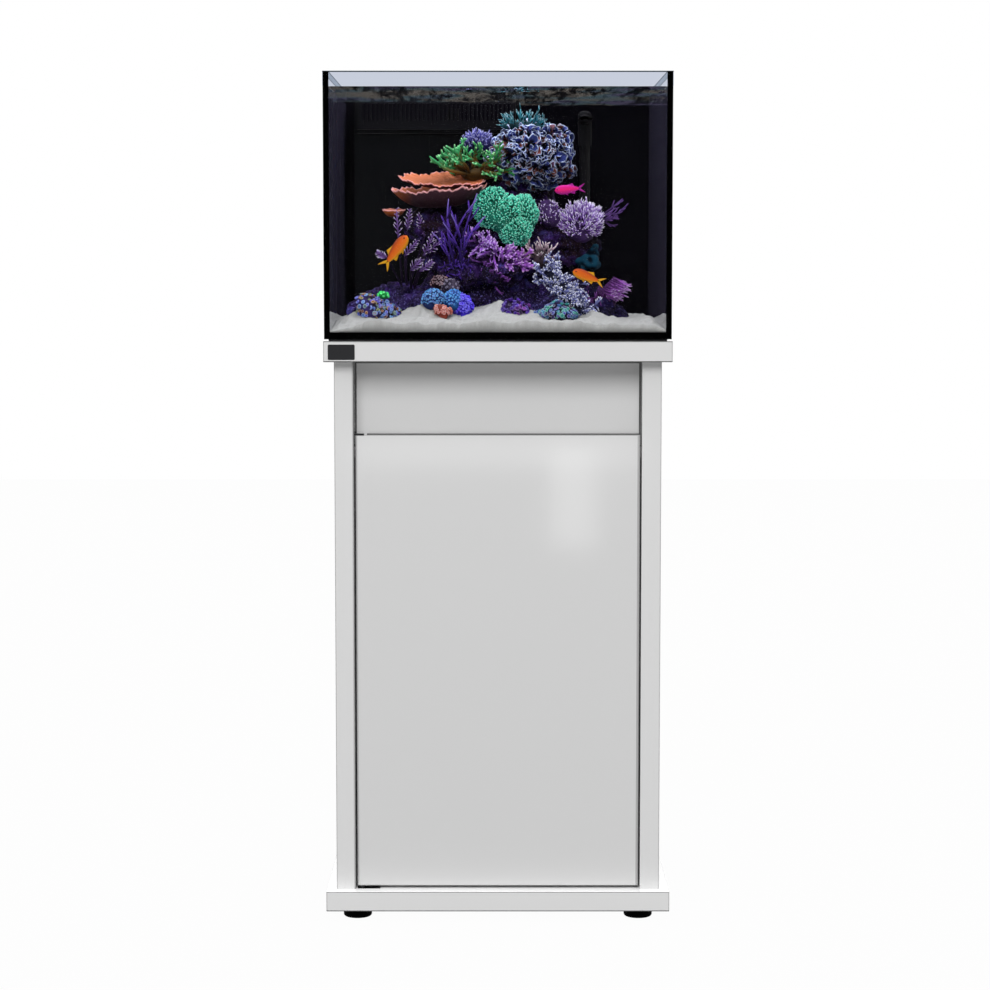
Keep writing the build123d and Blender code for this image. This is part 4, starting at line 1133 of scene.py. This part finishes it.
def fish_shape(nose, tail, depth, thick):
    """Fish: rings along the line from nose to tail, half height and half thickness by a rounded profile, with
    a forked tail and low fins as thin lofted blades. Tip runs from belly to back."""
    nose, tail = above_floor(nose), above_floor(tail)
    run = tail - nose
    length = np.linalg.norm(run)
    ahead = run / length
    side = unit(np.cross(ahead, UP))
    up = np.cross(side, ahead)
    s = np.linspace(0.0, 1.0, 24)
    half = depth * length * 0.5 * (np.sin(np.pi * s ** 0.72) ** 0.7 * (1 - 0.35 * s) + 0.2 * s)
    half = np.maximum(half, 0.015 * length)
    slim = thick / depth * half * (1 - 0.55 * s)
    turn = full_turn(18)
    wide, tall = np.cos(turn)[:, None] * slim[:, None, None], np.sin(turn)[:, None] * half[:, None, None]
    ring = side * wide + up * tall
    body = nose + ahead * (length * 0.8 * s)[:, None, None] + ring
    parts = [closed_rings(body[None][:, :, ::-1], (0.5 + 0.5 * np.sin(turn))[None, None, ::-1], 0.5)]
    # Root, point and back end of each fin along and across the fish, as shares of its length, and its bow
    blades = (
        ((0.76, 0.02), (1.02, 0.15), (0.86, 0.0), 0.1),
        ((0.76, -0.02), (1.02, -0.15), (0.86, 0.0), 0.1),
        ((0.2, 0.12), (0.6, 0.19), (0.68, 0.06), 0.3),
        ((0.48, -0.1), (0.66, -0.17), (0.68, -0.05), 0.2),
        ((0.26, -0.11), (0.44, -0.2), (0.38, -0.1), 0.2),
    )
    a = np.linspace(0, 1, 8)[:, None, None]
    b = np.linspace(0, 1, 7)[None, :, None]
    for root, point, back, bow in blades:
        root, point, back = np.array(root), np.array(point), np.array(back)
        edge = root * (1 - a) ** 2 + 2 * point * a * (1 - a) * (1 - bow) + point * a ** 2
        base = root * (1 - a) + back * a
        flat = base + (edge - base) * b
        blade = nose + length * (flat[..., :1] * ahead + flat[..., 1:] * up)
        wall = side * 0.006 * length * (1 - 0.6 * b)
        loop = np.concatenate([blade + wall, (blade - wall)[:, ::-1]], 1)
        parts.append(closed_rings(loop[None], 0.0, 0.1))
    eye = nose + ahead * 0.09 * length + up * 0.025 * length
    eyes = np.stack([eye + side * slim[3] * 0.95, eye - side * slim[3] * 0.95])
    points = balls(eyes, np.full((2, 3), 0.02 * length), 8, 12)[1]
    parts.append(closed_rings(points, 0.5, 1.0))
    return joined(parts)


def sheet_shape(x0, x1, y0, y1, cols, rows, level, ripple, length):
    """Rippled sheet over a rectangle, calm along its front and sides."""
    x = np.linspace(x0, x1, cols)[None] + np.zeros((rows, 1))
    y = np.linspace(y0, y1, rows)[:, None] + np.zeros((1, cols))
    flat = np.stack([x, y, 0 * x], -1)
    calm = np.clip(np.minimum(np.minimum(x - x0, x1 - x), y - y0) / 0.04, 0, 1)
    z = level + ripple * (waves(flat, length, 7) + 0.5 * waves(flat, length * 0.4, 8)) * 0.6 * calm
    return open_sheets(np.stack([x, y, z], -1)[None], 0.0, 0.5)


def rounded_plate(x0, x1, z0, z1, front, back, corner, edge):
    """Plate upright in XZ: a rounded outline at the back, the front and, drawn in by edge, its face."""
    turn = full_turn(48)
    cx = np.where(np.cos(turn) > 0, x1 - corner, x0 + corner)
    cz = np.where(np.sin(turn) > 0, z1 - corner, z0 + corner)
    rings = []
    for y, draw in ((back, 0.0), (front + edge, 0.0), (front, edge)):
        r = corner - draw
        rings.append(np.stack([cx + r * np.cos(turn), np.full(48, y), cz + r * np.sin(turn)], -1))
    return closed_rings(np.stack(rings)[None], 0.0, 0.5)


def lathe(profile, middle, wobble=0.0):
    """Profile of (radius, height) pairs turned about an upright line; the last pair joins the first."""
    turn = full_turn(64)[None]
    r = profile[:, :1] * (1 + wobble * (np.sin(5 * turn + 60 * profile[:, 1:]) + 0.6 * np.sin(9 * turn)))
    points = np.stack([middle[0] + r * np.cos(turn), middle[1] + r * np.sin(turn),
                       profile[:, 1:] + 0 * turn], -1)
    rows = len(profile)
    loop = grid_faces(rows + 1, 64, True) % (rows * 64)
    return Shape(points, [loop], 0.5, 0.5)


def sock_middle():
    """Upright middle line of the sock, as x and y."""
    return (SOCK[0][0] + SOCK[1][0]) / 2, (SOCK[0][1] + SOCK[1][1]) / 2


def sock_shape():
    """Felt bag: wall down from the ring, round toe, and back up inside; the wall wavers a little."""
    wall, felt, toe = 45.8 * MM, 2 * MM, 16 * MM
    top, low = SOCK[1][2] - 4 * MM, SOCK[0][2]
    outer = [(wall, z) for z in np.linspace(top, low + toe, 14)]
    for t in np.linspace(0, np.pi / 2, 9)[1:]:
        outer.append((wall - toe + toe * np.cos(t), low + toe - 15.6 * MM * np.sin(t)))
    outer.append((1 * MM, low + 0.4 * MM))
    inner = [(r - felt if r > 10 * MM else r, z + felt) for r, z in outer[::-1]]
    inner[-1] = (wall - felt, top)
    return lathe(np.array(inner + outer), sock_middle(), 0.006)


def sock_ring_shape():
    """Moulded ring that hangs in the holder's hole."""
    low = SOCK[1][2] - 4 * MM
    profile = [(52, 0), (52, 3.2), (51.2, 4), (45, 4), (44.4, 3.4), (44.4, -9), (46.4, -9), (46.4, 0)]
    return lathe(np.array([(r * MM, low + z * MM) for r, z in profile]), sock_middle())


# Operators

CORNERS = ("front_left", "front_right", "rear_left", "rear_right")

# Boards: how light they are, the lightened plinth and darkened door being painted light and shade, and their
# painted edge shade and highlight strips as lacquer_finish takes them
# Faint painted shade along a board's outer ends
END_EDGE_SHADE = ((0, -1, 0.1, 1.6, 174), (0, 1, 0.1, 1.6, 174))
BOARDS = {
    # Painted shade along the slab's underside, and along its top edge under the tank's foot
    "top_slab": (1.0, END_EDGE_SHADE + ((2, -1, 0.1, 1.7, 60), (2, 1, 0.1, 1.4, 70))),
    # Plinth lightened as painted light; painted shade along its bottom and top edges, and its top face
    # painted white, a painted highlight
    "plinth_slab": (1.07, END_EDGE_SHADE + ((2, -1, 0.1, 1.8, 50), (2, 1, 0.3, 1.4, 110), (2, 1, -0.5, 0.2, 255))),
    # Painted shade along the left post's edge beside the door gap
    "side_panel_left": (1.0, END_EDGE_SHADE[:1] + ((0, 1, 1.2, 3.2, 176), (0, 1, 0.1, 1.2, 90))),
    "side_panel_right": (1.0, END_EDGE_SHADE[1:]),
    # Dark painted shade where the fascia meets the posts, and at its top under the slab
    "recess_fascia": (1.0, ((0, -1, -0.5, 3.0, 40), (0, 1, -0.5, 3.0, 60), (2, 1, 0.1, 4.2, 40))),
    # Door darkened as painted shade, with painted shade along its side edges, near its top and on its top
    # face
    "door_panel": (0.93, ((0, -1, 0.1, 3.2, 168), (0, 1, 0.1, 4.8, 162), (2, 1, 2.0, 3.6, 160),
                          (2, 1, -0.5, 2.0, 60))),
}

# Plain finishes: name, colour, roughness, spread, grain, relief, further values, and the nodes with it
CABINET_FITTINGS = (
    ("zinc_steel", (168, 170, 174), 0.32, 0.08, 900.0, 0.1,
     {"metal": 1.0, "depth": 0.0002, "stretch": (1, 1, 0.05)},
     ("catch_strike", "foot_inserts", *("foot_stud_" + corner for corner in CORNERS))),
    ("turned_brass", (196, 160, 92), 0.3, 0.08, 900.0, 0.1,
     {"metal": 1.0, "depth": 0.0002, "stretch": (1, 1, 8)}, ("hinge_bushes",)),
    ("blued_steel", (34, 34, 36), 0.45, 0.1, 900.0, 0.1, {"metal": 0.6}, ("hinge_blades",)),
    ("melamine_board", (205, 205, 204), 0.45, 0.02, 700.0, 0.08, {}, ("cabinet_back_panel", "cross_rail")),
    ("foot_rubber", (3, 3, 3), 0.7, 0.2, 900.0, 0.3, {"specular": 0.02},
     ("catch_magnet", *("foot_pad_" + corner for corner in CORNERS))),
    ("mat_foam", (20, 20, 21), 0.9, 0.25, 1200.0, 0.6, {"specular": 0.04, "depth": 0.0008},
     ("levelling_mat",)),
)
TANK_FITTINGS = (
    ("black_glass", (5, 4, 8), 0.25, 0.2, 6.0, 0.0, {"specular": 0.02}, ("tank_back_pane",)),
    ("black_silicone", (2, 2, 2), 0.6, 0.2, 500.0, 0.2, {"specular": 0.0},
     ("silicone_seams", "bulkhead_gaskets")),
    ("black_acrylic", (16, 15, 19), 0.3, 0.15, 30.0, 0.05, {"specular": 0.05}, ("weir_comb",)),
    ("weir_acrylic", (12, 12, 15), 0.3, 0.15, 30.0, 0.05, {"specular": 0.03}, ("weir_panels",)),
    ("black_plastic", (19, 18, 21), 0.6, 0.15, 700.0, 0.2, {"specular": 0.08},
     ("bulkhead_bodies", "bulkhead_nuts", "return_nozzle")),
    ("grey_pipe", (96, 98, 102), 0.45, 0.06, 600.0, 0.1, {"stretch": (1, 1, 0.05)},
     ("drain_pipe", "emergency_pipe", "return_pipe", "drain_valve_body")),
    ("submerged_pipe", (15, 14, 17), 0.5, 0.1, 600.0, 0.1, {"specular": 0.1}, ("standpipes", "return_riser")),
    ("red_lever", (176, 28, 26), 0.35, 0.05, 700.0, 0.1, {}, ("drain_valve_lever",)),
)
SUMP_FITTINGS = (
    ("holder_acrylic", (26, 26, 29), 0.25, 0.1, 30.0, 0.05, {}, ("sock_holder",)),
    ("pump_plastic", (32, 33, 36), 0.45, 0.15, 800.0, 0.25, {}, ("pump_housing",)),
    ("impeller_plastic", (214, 214, 210), 0.4, 0.04, 700.0, 0.1, {}, ("pump_impeller",)),
)


class AQUARIUM_OT_cabinet(bpy.types.Operator):
    """Lacquers the boards, finishes the fittings and feet, and sets the bare plate on the slab"""

    bl_idname = "aquarium.cabinet"
    bl_label = "Finish Cabinet"

    def execute(self, context):
        settings = context.scene.aquarium_cabinet
        for node, (depth, edge_shade_and_highlight) in BOARDS.items():
            dress(lacquer_finish(settings, node, depth, edge_shade_and_highlight), node)
        fit_out(CABINET_FITTINGS)
        width, proud, height = settings.badge_size
        x0 = SLAB[0][0] + settings.badge_corner[0]
        z0 = SLAB[0][2] + settings.badge_corner[1]
        front = SLAB[0][1] - proud
        plate = rounded_plate(x0, x0 + width, z0, z0 + height, front, SLAB[0][1] + proud, 2.2 * MM, 0.4 * MM)
        dark = plain_finish("badge_plate", (16, 16, 20), 0.35, 0.1, 500.0, 0.05, specular=0.3)
        put("badge_plate", plate, dark, smooth=False)
        return {"FINISHED"}


class AQUARIUM_OT_tank(bpy.types.Operator):
    """Finishes the panes, seams, weir and pipes of the tank"""

    bl_idname = "aquarium.tank"
    bl_label = "Finish Tank"

    def execute(self, context):
        level = context.scene.aquarium_water.level
        front = glass_finish("front_glass", level, False, (0.76, 0.785, 0.845, 1.0))
        side = glass_finish("side_glass", level + 1.2 * MM, True, (0.985, 0.988, 0.992, 1.0))
        dress(front, "tank_front_pane")
        dress(side, "tank_left_pane", "tank_right_pane")
        dress(thin_glass_finish("floor_glass", (0.7, 0.76, 0.76, 1.0), 0.3), "tank_bottom_pane")
        fit_out(TANK_FITTINGS)
        return {"FINISHED"}


class AQUARIUM_OT_sump(bpy.types.Operator):
    """Finishes the sump and its pump, and sews the felt sock"""

    bl_idname = "aquarium.sump"
    bl_label = "Finish Sump"

    def execute(self, context):
        glass = thin_glass_finish("sump_glass", (0.86, 0.93, 0.92, 1.0), 0.8)
        dress(glass, "sump_panes", "sump_baffles")
        fit_out(SUMP_FITTINGS)
        put("filter_sock_bag", sock_shape(), felt_finish(), ("filter_sock",), "sock")
        ring = plain_finish("sock_ring", (224, 224, 220), 0.4, 0.03, 700.0, 0.1)
        put("filter_sock_ring", sock_ring_shape(), ring, (), "sock")
        return {"FINISHED"}


class AQUARIUM_OT_water(bpy.types.Operator):
    """Lays the rippled surface of the water"""

    bl_idname = "aquarium.water"
    bl_label = "Fill Water"

    def execute(self, context):
        settings = context.scene.aquarium_water
        gap = 0.1 * MM
        back = COMB_FRONT - 1 * MM
        ripples = (settings.level, settings.ripple, settings.ripple_length)
        broad = sheet_shape(gap - INNER_HALF, INNER_HALF - gap, INNER_FRONT + gap, back, 170, 130, *ripples)
        rear = sheet_shape(WEIR_RIGHT + gap, INNER_HALF - gap, back, INNER_REAR - 1.5 * MM, 70, 32, *ripples)
        put("water_surface", joined([broad, rear]), water_finish())
        return {"FINISHED"}


class AQUARIUM_OT_sand(bpy.types.Operator):
    """Pours the sand bed"""

    bl_idname = "aquarium.sand"
    bl_label = "Pour Sand"

    def execute(self, context):
        sand = sand_finish(context.scene.aquarium_reef.sand)
        put("sand_bed_drift", sand_shape(), sand, ("sand_bed",))
        return {"FINISHED"}


class AQUARIUM_OT_rock(bpy.types.Operator):
    """Piles the rock"""

    bl_idname = "aquarium.rock"
    bl_label = "Pile Rock"

    def execute(self, context):
        crusted = rock_finish(context.scene.aquarium_reef)
        put("rock_pile", lumps(ROCKS, 64, 96, 1.0, 5), crusted, ("reef_rock",))
        put("rock_foot", lumps(STONES[1:], 48, 64, 0.9, 8), crusted)
        stops = ((0.3, paint(4, 14, 26)), (0.7, paint(22, 66, 88)))
        teal = coral_finish("teal_stone", stops, grain=150.0, painted_glow=0.0, rough=0.8)
        put("teal_stone", lumps(STONES[:1], 40, 56, 1.1, 142), teal)
        return {"FINISHED"}


# Plates: centre, rim and stem radius, rise, tilt, lean, depth to width, seed
PLATES = (
    ((-105, -72, 221), 84, 26, 32, 0.1, 0.05, 0.72, 13),
    ((-99, -66, 257), 76, 16, 12, 0.22, -0.04, 0.74, 14),
    ((-186, -74, 203), 20, 6, 11, 0.1, 0.0, 0.72, 15),
)

# Branching corals: shape, setting of the colour, paleness of the tips, slot and, for some, the node replaced
BRANCHES = {
    "crown_tuft": (crown_shape, "crown", 0.3, "coral_crown", "crown_corals"),
    "violet_tuft": (violet_shape, "violet", 0.35, "coral_crown"),
    "lilac_bush": (lilac_shape, "lilac", 0.7, "coral_lilac", "lilac_bush_coral"),
    "magenta_branches": (magenta_shape, "magenta", 0.35, "coral_magenta", "magenta_branch_coral"),
    "blue_hedge": (blue_shape, "blue", 0.7, "coral_blue_white", "blue_branch_coral"),
    "pale_antlers": (pale_antler_shape, "antler", 0.5, "coral_blue_white"),
    "purple_fan": (fan_shape, "fan", 0.3, "coral_purple", "purple_fan_coral"),
    "feather_sprays": (spray_shape, "twig", 0.65, "coral_purple", "twig_corals"),
    "purple_sticks": (stick_shape, "stick", 0.1, "coral_purple"),
}

# Second hues, and from where to where along x they are taken on
HUES_ACROSS = {
    "antler_colony": (paint(236, 228, 214), -0.06, 0.01),
    "magenta_branches": (paint(255, 226, 236), -0.02, 0.05),
}


class AQUARIUM_OT_corals(bpy.types.Operator):
    """Grows the corals"""

    bl_idname = "aquarium.corals"
    bl_label = "Grow Corals"

    def execute(self, context):
        reef = context.scene.aquarium_reef
        leaf = leaf_finish(reef)
        petals = put("leaf_colony", leaf_shape(), leaf, ("leaf_coral",))
        thicken(petals, 1.1 * MM)
        # The heart's tip values scaled to 0.2 give it the darkest stops: painted shade under the petals
        heart = lumps([(LEAF_CENTRE, (54, 45, 43))], 40, 56, 0.6, 12, 0.2)
        put("leaf_colony_heart", heart, leaf)
        plates = joined([plate_shape(*row) for row in PLATES])
        put("plate_cups", plates, plate_finish(reef), ("plate_coral",))
        bright = tuple(reef.ball)
        # Dark low stops: painted shade deep among the polyps
        stops = ((0.0, shade(bright, 0.06)), (0.42, shade(bright, 0.3)), (0.8, bright),
                 (1.0, pale(bright, 0.3)))
        ball = coral_finish("ball_coral", stops)
        put("ball_colony", ball_shape(), ball, ("ball_coral",))
        green = tuple(reef.green)
        # Dark lowest stop: painted shade at the roots; the brown above it is the coral's own
        stops = ((0.0, paint(26, 18, 10)), (0.42, paint(96, 70, 30)), (0.62, shade(green, 0.4)),
                 (0.86, green), (1.0, paint(146, 200, 148)))
        antler = coral_finish("antler_coral", stops, across=HUES_ACROSS["antler_colony"])
        put("antler_colony", antler_shape(), antler, ("green_branch_coral",))
        for name, (shape, setting, light, slot, *replaced) in BRANCHES.items():
            tone = tuple(getattr(reef, setting))
            # Dark low stops: painted shade at the roots
            stops = ((0.0, shade(tone, 0.05)), (0.4, shade(tone, 0.35)), (0.75, tone),
                     (1.0, pale(tone, light)))
            material = coral_finish(name, stops, across=HUES_ACROSS.get(name))
            put(name, shape(), material, replaced)
        return {"FINISHED"}


# Mounds: name, centre, radii, number and size of polyps, roughness, light of the rims, dark colour, hues
MOUNDS = (
    ("mixed_polyps", (-212, -150, 32), (36, 30, 27), 210, 3.9, 1.2, 150, (26, 18, 34),
     ((92, 46, 40), (134, 88, 40), (92, 110, 52), (64, 96, 164), (78, 62, 170), (100, 146, 196))),
    ("left_dome", (-114, -165, 54), (22, 19, 20), 170, 2.0, 0.2, 150, (24, 38, 84),
     ((44, 92, 170), (60, 130, 190), (80, 150, 206))),
    ("right_dome", (-78, -160, 54), (18, 17, 18), 150, 1.9, 0.2, 150, (26, 50, 110),
     ((40, 100, 190), (60, 150, 210))),
    ("purple_clump", (26, -182, 31), (27, 20, 20), 76, 4.6, 1.0, 100, (22, 8, 40),
     ((50, 22, 96), (78, 42, 156), (34, 16, 52), (110, 46, 144))),
    ("teal_polyps", (102, -176, 29), (40, 24, 17), 190, 3.8, 0.8, 150, (18, 12, 36),
     ((36, 118, 96), (54, 60, 140), (58, 150, 126), (46, 32, 44), (72, 58, 150), (44, 116, 144))),
    ("violet_mound", (-56, -166, 40), (17, 15, 22), 120, 2.8, 1.2, 150, (44, 28, 150),
     ((84, 60, 224), (70, 50, 200), (110, 90, 240))),
    ("pink_knob", (-96, -188, 34), (17, 12, 13), 46, 3.4, 0.9, 150, (110, 46, 36),
     ((170, 96, 88), (186, 116, 104), (140, 74, 66))),
    ("brown_knob", (-104, -124, 84), (15, 13, 14), 60, 2.2, 0.5, 150, (34, 20, 26),
     ((136, 104, 112), (98, 70, 82), (156, 124, 130))),
    ("grey_knob", (-86, -130, 77), (13, 12, 14), 40, 2.2, 0.7, 150, (36, 30, 46),
     ((100, 88, 114), (122, 110, 134), (76, 64, 92))),
    ("green_knob", (-202, -156, 62), (8, 6, 5), 12, 3.0, 0.3, 150, (20, 110, 50),
     ((40, 200, 90), (80, 230, 120))),
)


class AQUARIUM_OT_polyps(bpy.types.Operator):
    """Sets the polyp mounds along the sand"""

    bl_idname = "aquarium.polyps"
    bl_label = "Set Polyp Mounds"

    def execute(self, context):
        for i, (name, centre, radii, count, size, rough, light, dark, hues) in enumerate(MOUNDS):
            shape = polyp_shape(120 + i, centre, radii, count, size, rough)
            material = polyp_finish(name, dark, hues, light)
            put(name, shape, material, ("polyp_mounds",) if i == 0 else ())
        return {"FINISHED"}


# Colours of the fish from belly to back, the orange fish's dark brown back partly its own colour and partly
# painted shade, and where their noses and tails are
ORANGE = ((0.0, paint(196, 140, 26)), (0.3, paint(206, 104, 24)), (0.7, paint(190, 80, 20)),
          (1.0, paint(120, 46, 24)))
MAGENTA = ((0.0, paint(150, 30, 130)), (0.5, paint(214, 30, 106)), (1.0, paint(176, 16, 128)))
SHOAL = (
    ("left_fish", (-160, -150, 167), (-203, -150, 111), ORANGE),
    ("right_fish", (132, -170, 105), (187, -170, 84), ORANGE),
    ("upper_fish", (101, -120, 247), (154, -120, 252), MAGENTA),
)


class AQUARIUM_OT_fish(bpy.types.Operator):
    """Sets the three fish in the water"""

    bl_idname = "aquarium.fish"
    bl_label = "Set Fish"

    def execute(self, context):
        for name, nose, tail, stops in SHOAL:
            put(name, fish_shape(nose, tail, depth=0.33, thick=0.16), fish_finish(name, stops))
        return {"FINISHED"}


class AQUARIUM_OT_stage(bpy.types.Operator):
    """Sets the floor, the room's light, the lamps and the camera"""

    bl_idname = "aquarium.stage"
    bl_label = "Set Stage"

    def execute(self, context):
        scene = context.scene
        settings = scene.aquarium_stage
        scene.view_settings.view_transform = "Standard"
        self.light_room(scene, settings)
        self.lay_floor(scene)
        white = (1.0, 1.0, 1.0)
        key = settings.key_power
        # Name, place, aim, width and height, power, colour; the cards alone show in gloss
        lamps = (
            ("key_softbox", (-0.7, -7.8, 5.9), (0.0, -0.1, 0.7), (5.2, 4.4), key, white),
            ("front_fill", (0.6, -6.0, 0.5), (0.0, 0.0, 0.3), (3.0, 1.0), key * 0.006, white),
            ("rear_fill", (0.6, 7.5, 5.6), (0.0, 0.0, 0.7), (5.0, 3.6), key * 0.45, white),
            ("window_card", (0.31, -6.0, 0.22), (0.31, 0.0, 0.22), (0.18, 0.4), 0.6, white),
            ("band_card", (0.0, -6.1, 0.4), (0.0, 0.0, 0.4), (1.16, 0.13), 1.1, white),
            ("tank_lamp", (0.0, -0.06, RIM + 0.42), (0.0, -0.02, RIM), (0.5, 0.34), settings.tank_power,
             (0.9, 0.93, 1.0)),
        )
        for name, place, aim, size, power, tint in lamps:
            self.hang_lamp(scene, name, place, aim, size, power, tint)
        camera = bpy.data.cameras.new("camera")
        camera.sensor_width = 36.0
        camera.lens = settings.lens
        eye = bpy.data.objects.new("camera", camera)
        eye.location = settings.camera_place
        eye.rotation_euler = (np.pi / 2 - settings.camera_tilt, 0.0, 0.0)
        scene.collection.objects.link(eye)
        scene.camera = eye
        return {"FINISHED"}

    @staticmethod
    def seen(nodes):
        """1 for rays that show the backdrop as it is: from the camera, from gloss and through glass."""
        path = nodes.add("ShaderNodeLightPath").socket.node
        camera, gloss, glass = (Field(nodes, path.outputs[f"Is {kind} Ray"])
                                for kind in ("Camera", "Glossy", "Transmission"))
        return camera.larger(gloss.larger(glass))

    def light_room(self, scene, settings):
        """Room that is dim at the sides and bright above, before a white backdrop."""
        world = bpy.data.worlds.new("room")
        world.use_nodes = True
        scene.world = world
        nodes = Nodes(world.node_tree, "ShaderNodeOutputWorld")
        way = nodes.add("ShaderNodeTexCoord", out="Generated")
        height = Field(nodes, nodes.add("ShaderNodeSeparateXYZ", None, {0: way}).socket.node.outputs["Z"])
        level = nodes.span(height, 0.2, 0.85, settings.ambient, settings.overhead)
        even, white = (nodes.add("ShaderNodeBackground", None, {"Color": colour, "Strength": 1.0})
                       for colour in (level, WHITE))
        nodes.show(nodes.blend(self.seen(nodes), even, white))

    def lay_floor(self, scene):
        """Floor that looks white and lights the cabinet as a grey one."""
        f = finish("pale_floor")
        diffuse = f.principled({
            "Base Color": f.mix(f.noise(2.0, 2.0), (0.26, 0.26, 0.26, 1.0), (0.28, 0.28, 0.28, 1.0)),
            "Roughness": 0.8,
            "Specular IOR Level": 0.0,
        })
        white = f.add("ShaderNodeEmission", None, {"Color": WHITE, "Strength": 1.0})
        shown = self.seen(f) * 0.975
        f.show(f.blend(shown, diffuse, white))
        mesh = bpy.data.meshes.new("floor")
        corners = [(-9, -7, 0), (9, -7, 0), (9, 9, 0), (-9, 9, 0)]
        mesh.from_pydata(corners, [], [(0, 1, 2, 3)])
        mesh.materials.append(f.material)
        floor = bpy.data.objects.new("floor", mesh)
        scene.collection.objects.link(floor)

    @staticmethod
    def hang_lamp(scene, name, place, aim, size, power, tint):
        """Rectangular lamp that the camera doesn't see."""
        lamp = bpy.data.lights.new(name, "AREA")
        lamp.shape = "RECTANGLE"
        lamp.size, lamp.size_y = size
        lamp.energy = power
        lamp.color = tint
        holder = bpy.data.objects.new(name, lamp)
        holder.location = place
        holder.visible_camera = False
        holder.visible_glossy = name.endswith("card")
        run = unit(np.array(aim) - np.array(place))
        turn = np.arctan2(run[0], -run[1]) if abs(run[0]) + abs(run[1]) > 1e-6 else 0.0
        holder.rotation_euler = (np.arccos(-run[2]), 0.0, turn + np.pi)
        scene.collection.objects.link(holder)


OPERATORS = (
    AQUARIUM_OT_cabinet, AQUARIUM_OT_tank, AQUARIUM_OT_sump, AQUARIUM_OT_water, AQUARIUM_OT_sand,
    AQUARIUM_OT_rock, AQUARIUM_OT_corals, AQUARIUM_OT_polyps, AQUARIUM_OT_fish, AQUARIUM_OT_stage,
)


class AQUARIUM_PT_panel(bpy.types.Panel):
    """Lists the steps and their settings"""

    bl_idname = "AQUARIUM_PT_panel"
    bl_label = "Reef Tank"
    bl_space_type = "VIEW_3D"
    bl_region_type = "UI"
    bl_category = "Reef Tank"

    def draw(self, context):
        for operator in OPERATORS:
            self.layout.operator(operator.bl_idname)
        for group in SETTINGS:
            settings = getattr(context.scene, group)
            for name in settings.__annotations__:
                self.layout.prop(settings, name)


SETTINGS = {
    "aquarium_cabinet": CabinetSettings,
    "aquarium_water": WaterSettings,
    "aquarium_reef": ReefSettings,
    "aquarium_stage": StageSettings,
}


def register():
    """Registers the settings, the operators and the panel."""
    for name, group in SETTINGS.items():
        bpy.utils.register_class(group)
        setattr(bpy.types.Scene, name, bpy.props.PointerProperty(type=group))
    for operator in OPERATORS:
        bpy.utils.register_class(operator)
    bpy.utils.register_class(AQUARIUM_PT_panel)


def unregister():
    """Takes back what register did."""
    bpy.utils.unregister_class(AQUARIUM_PT_panel)
    for operator in reversed(OPERATORS):
        bpy.utils.unregister_class(operator)
    for name, group in SETTINGS.items():
        delattr(bpy.types.Scene, name)
        bpy.utils.unregister_class(group)


def main():
    """Builds the scene step by step."""
    register()
    for operator in OPERATORS:
        group, step = operator.bl_idname.split(".")
        getattr(getattr(bpy.ops, group), step)()


if __name__ == "__main__":
    main()
